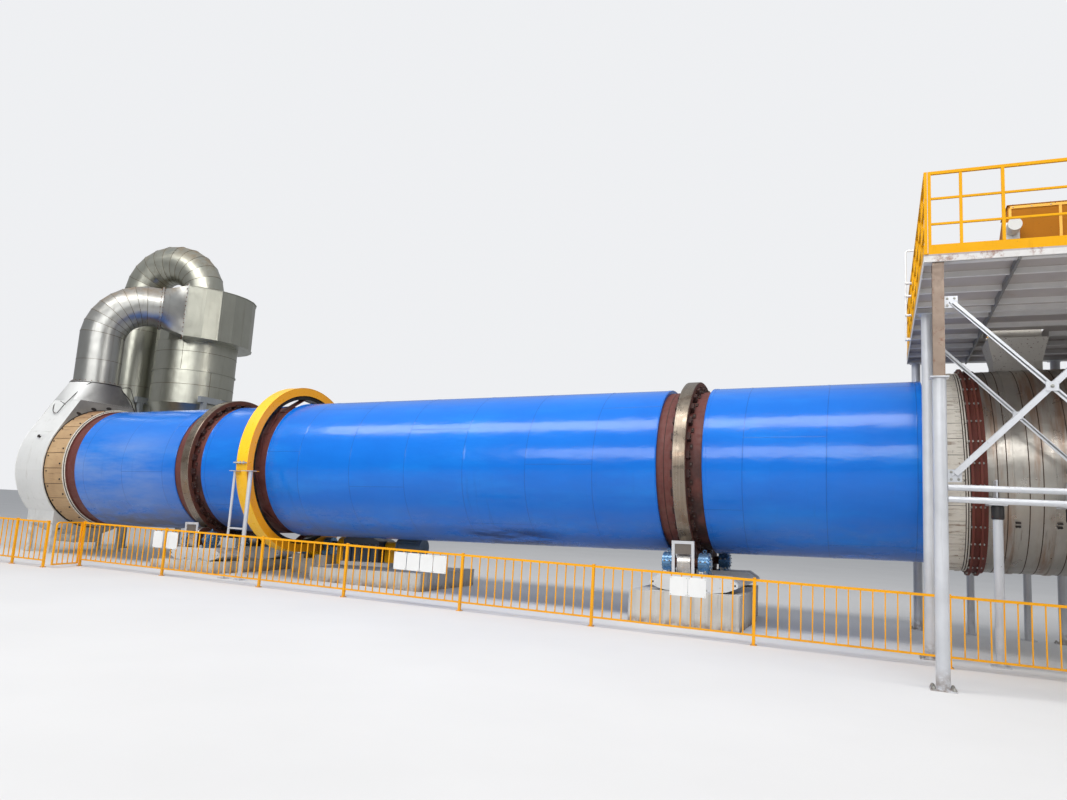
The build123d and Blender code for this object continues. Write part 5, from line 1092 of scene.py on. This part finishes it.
GATE = turned(283, "Z", (GATE_X, FENCE_Y, 0))
latch.box((0.80, -0.026, 0.93), (0.12, 0.014, 0.045), GATE)
latch.rod([(0.755, -0.034, 0.93), (0.755, -0.062, 0.93), (0.76, -0.070, 0.922), (0.76, -0.070, 0.86)], 0.007, GATE)
latch.rod([(0.75, -0.034, 0.948), (0.872, -0.034, 0.948)], 0.006, GATE)
latch.piece("gate_latch", "dark_steel", "rusty_steel", "gate")


# Floor and light
def make_floor():
    bpy.ops.mesh.primitive_plane_add(size=400, location=(-5, 0, -0.002))
    floor = bpy.context.object
    floor.name = "floor"
    r = Recipe("floor")
    r.shade = r.mix(r.noise(0.3, 4.0), (0.62, 0.61, 0.60), (0.70, 0.69, 0.68))
    r.finish(Roughness=0.85)
    floor.data.materials.append(LOOK["floor"])
    floor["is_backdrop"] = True


def make_world():
    """Light that is paler towards the top, and a plain pale backdrop for the camera."""
    world = scene.world = bpy.data.worlds.new("studio")
    n = Nodes(world)
    ramp = n.node("ValToRGB", n.node("SeparateXYZ", n.node("TexCoord").outputs["Generated"]).outputs[2])
    for entry, position, colour in ((0, 0.0, (0.42, 0.42, 0.43, 1)), (1, 0.9, (0.85, 0.90, 0.97, 1))):
        ramp.color_ramp.elements[entry].position = position
        ramp.color_ramp.elements[entry].color = colour
    light = n.node("Background", ramp.outputs[0], 0.68).outputs[0]
    backdrop = n.node("Background", (0.86, 0.87, 0.89), 1.0).outputs[0]
    seen = n.node("LightPath").outputs["Is Camera Ray"]
    n.node("OutputWorld", n.node("MixShader", seen, light, backdrop).outputs[0])


def area_light(name, place, target, size, energy, colour):
    data = bpy.data.lights.new(name, "AREA")
    data.shape = "RECTANGLE"
    data.size, data.size_y = size
    data.energy = energy
    data.color = colour
    light = bpy.data.objects.new(name, data)
    light.location = place
    light.rotation_euler = (Vector(target) - Vector(place)).to_track_quat("-Z", "Y").to_euler()
    scene.collection.objects.link(light)


make_floor()
make_world()
area_light("roof_light", (-6, -9, 19), (-6, 0, 2), (34, 5), 3700, (1.0, 0.99, 0.97))
area_light("front_light", (-3, -36, 16), (-6, 0, 2), (36, 9), 5600, (1.0, 1.0, 1.0))
area_light("end_light", (26, -10, 13), (4, 0, 3), (10, 8), 1300, (1.0, 0.98, 0.95))

low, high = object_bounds()
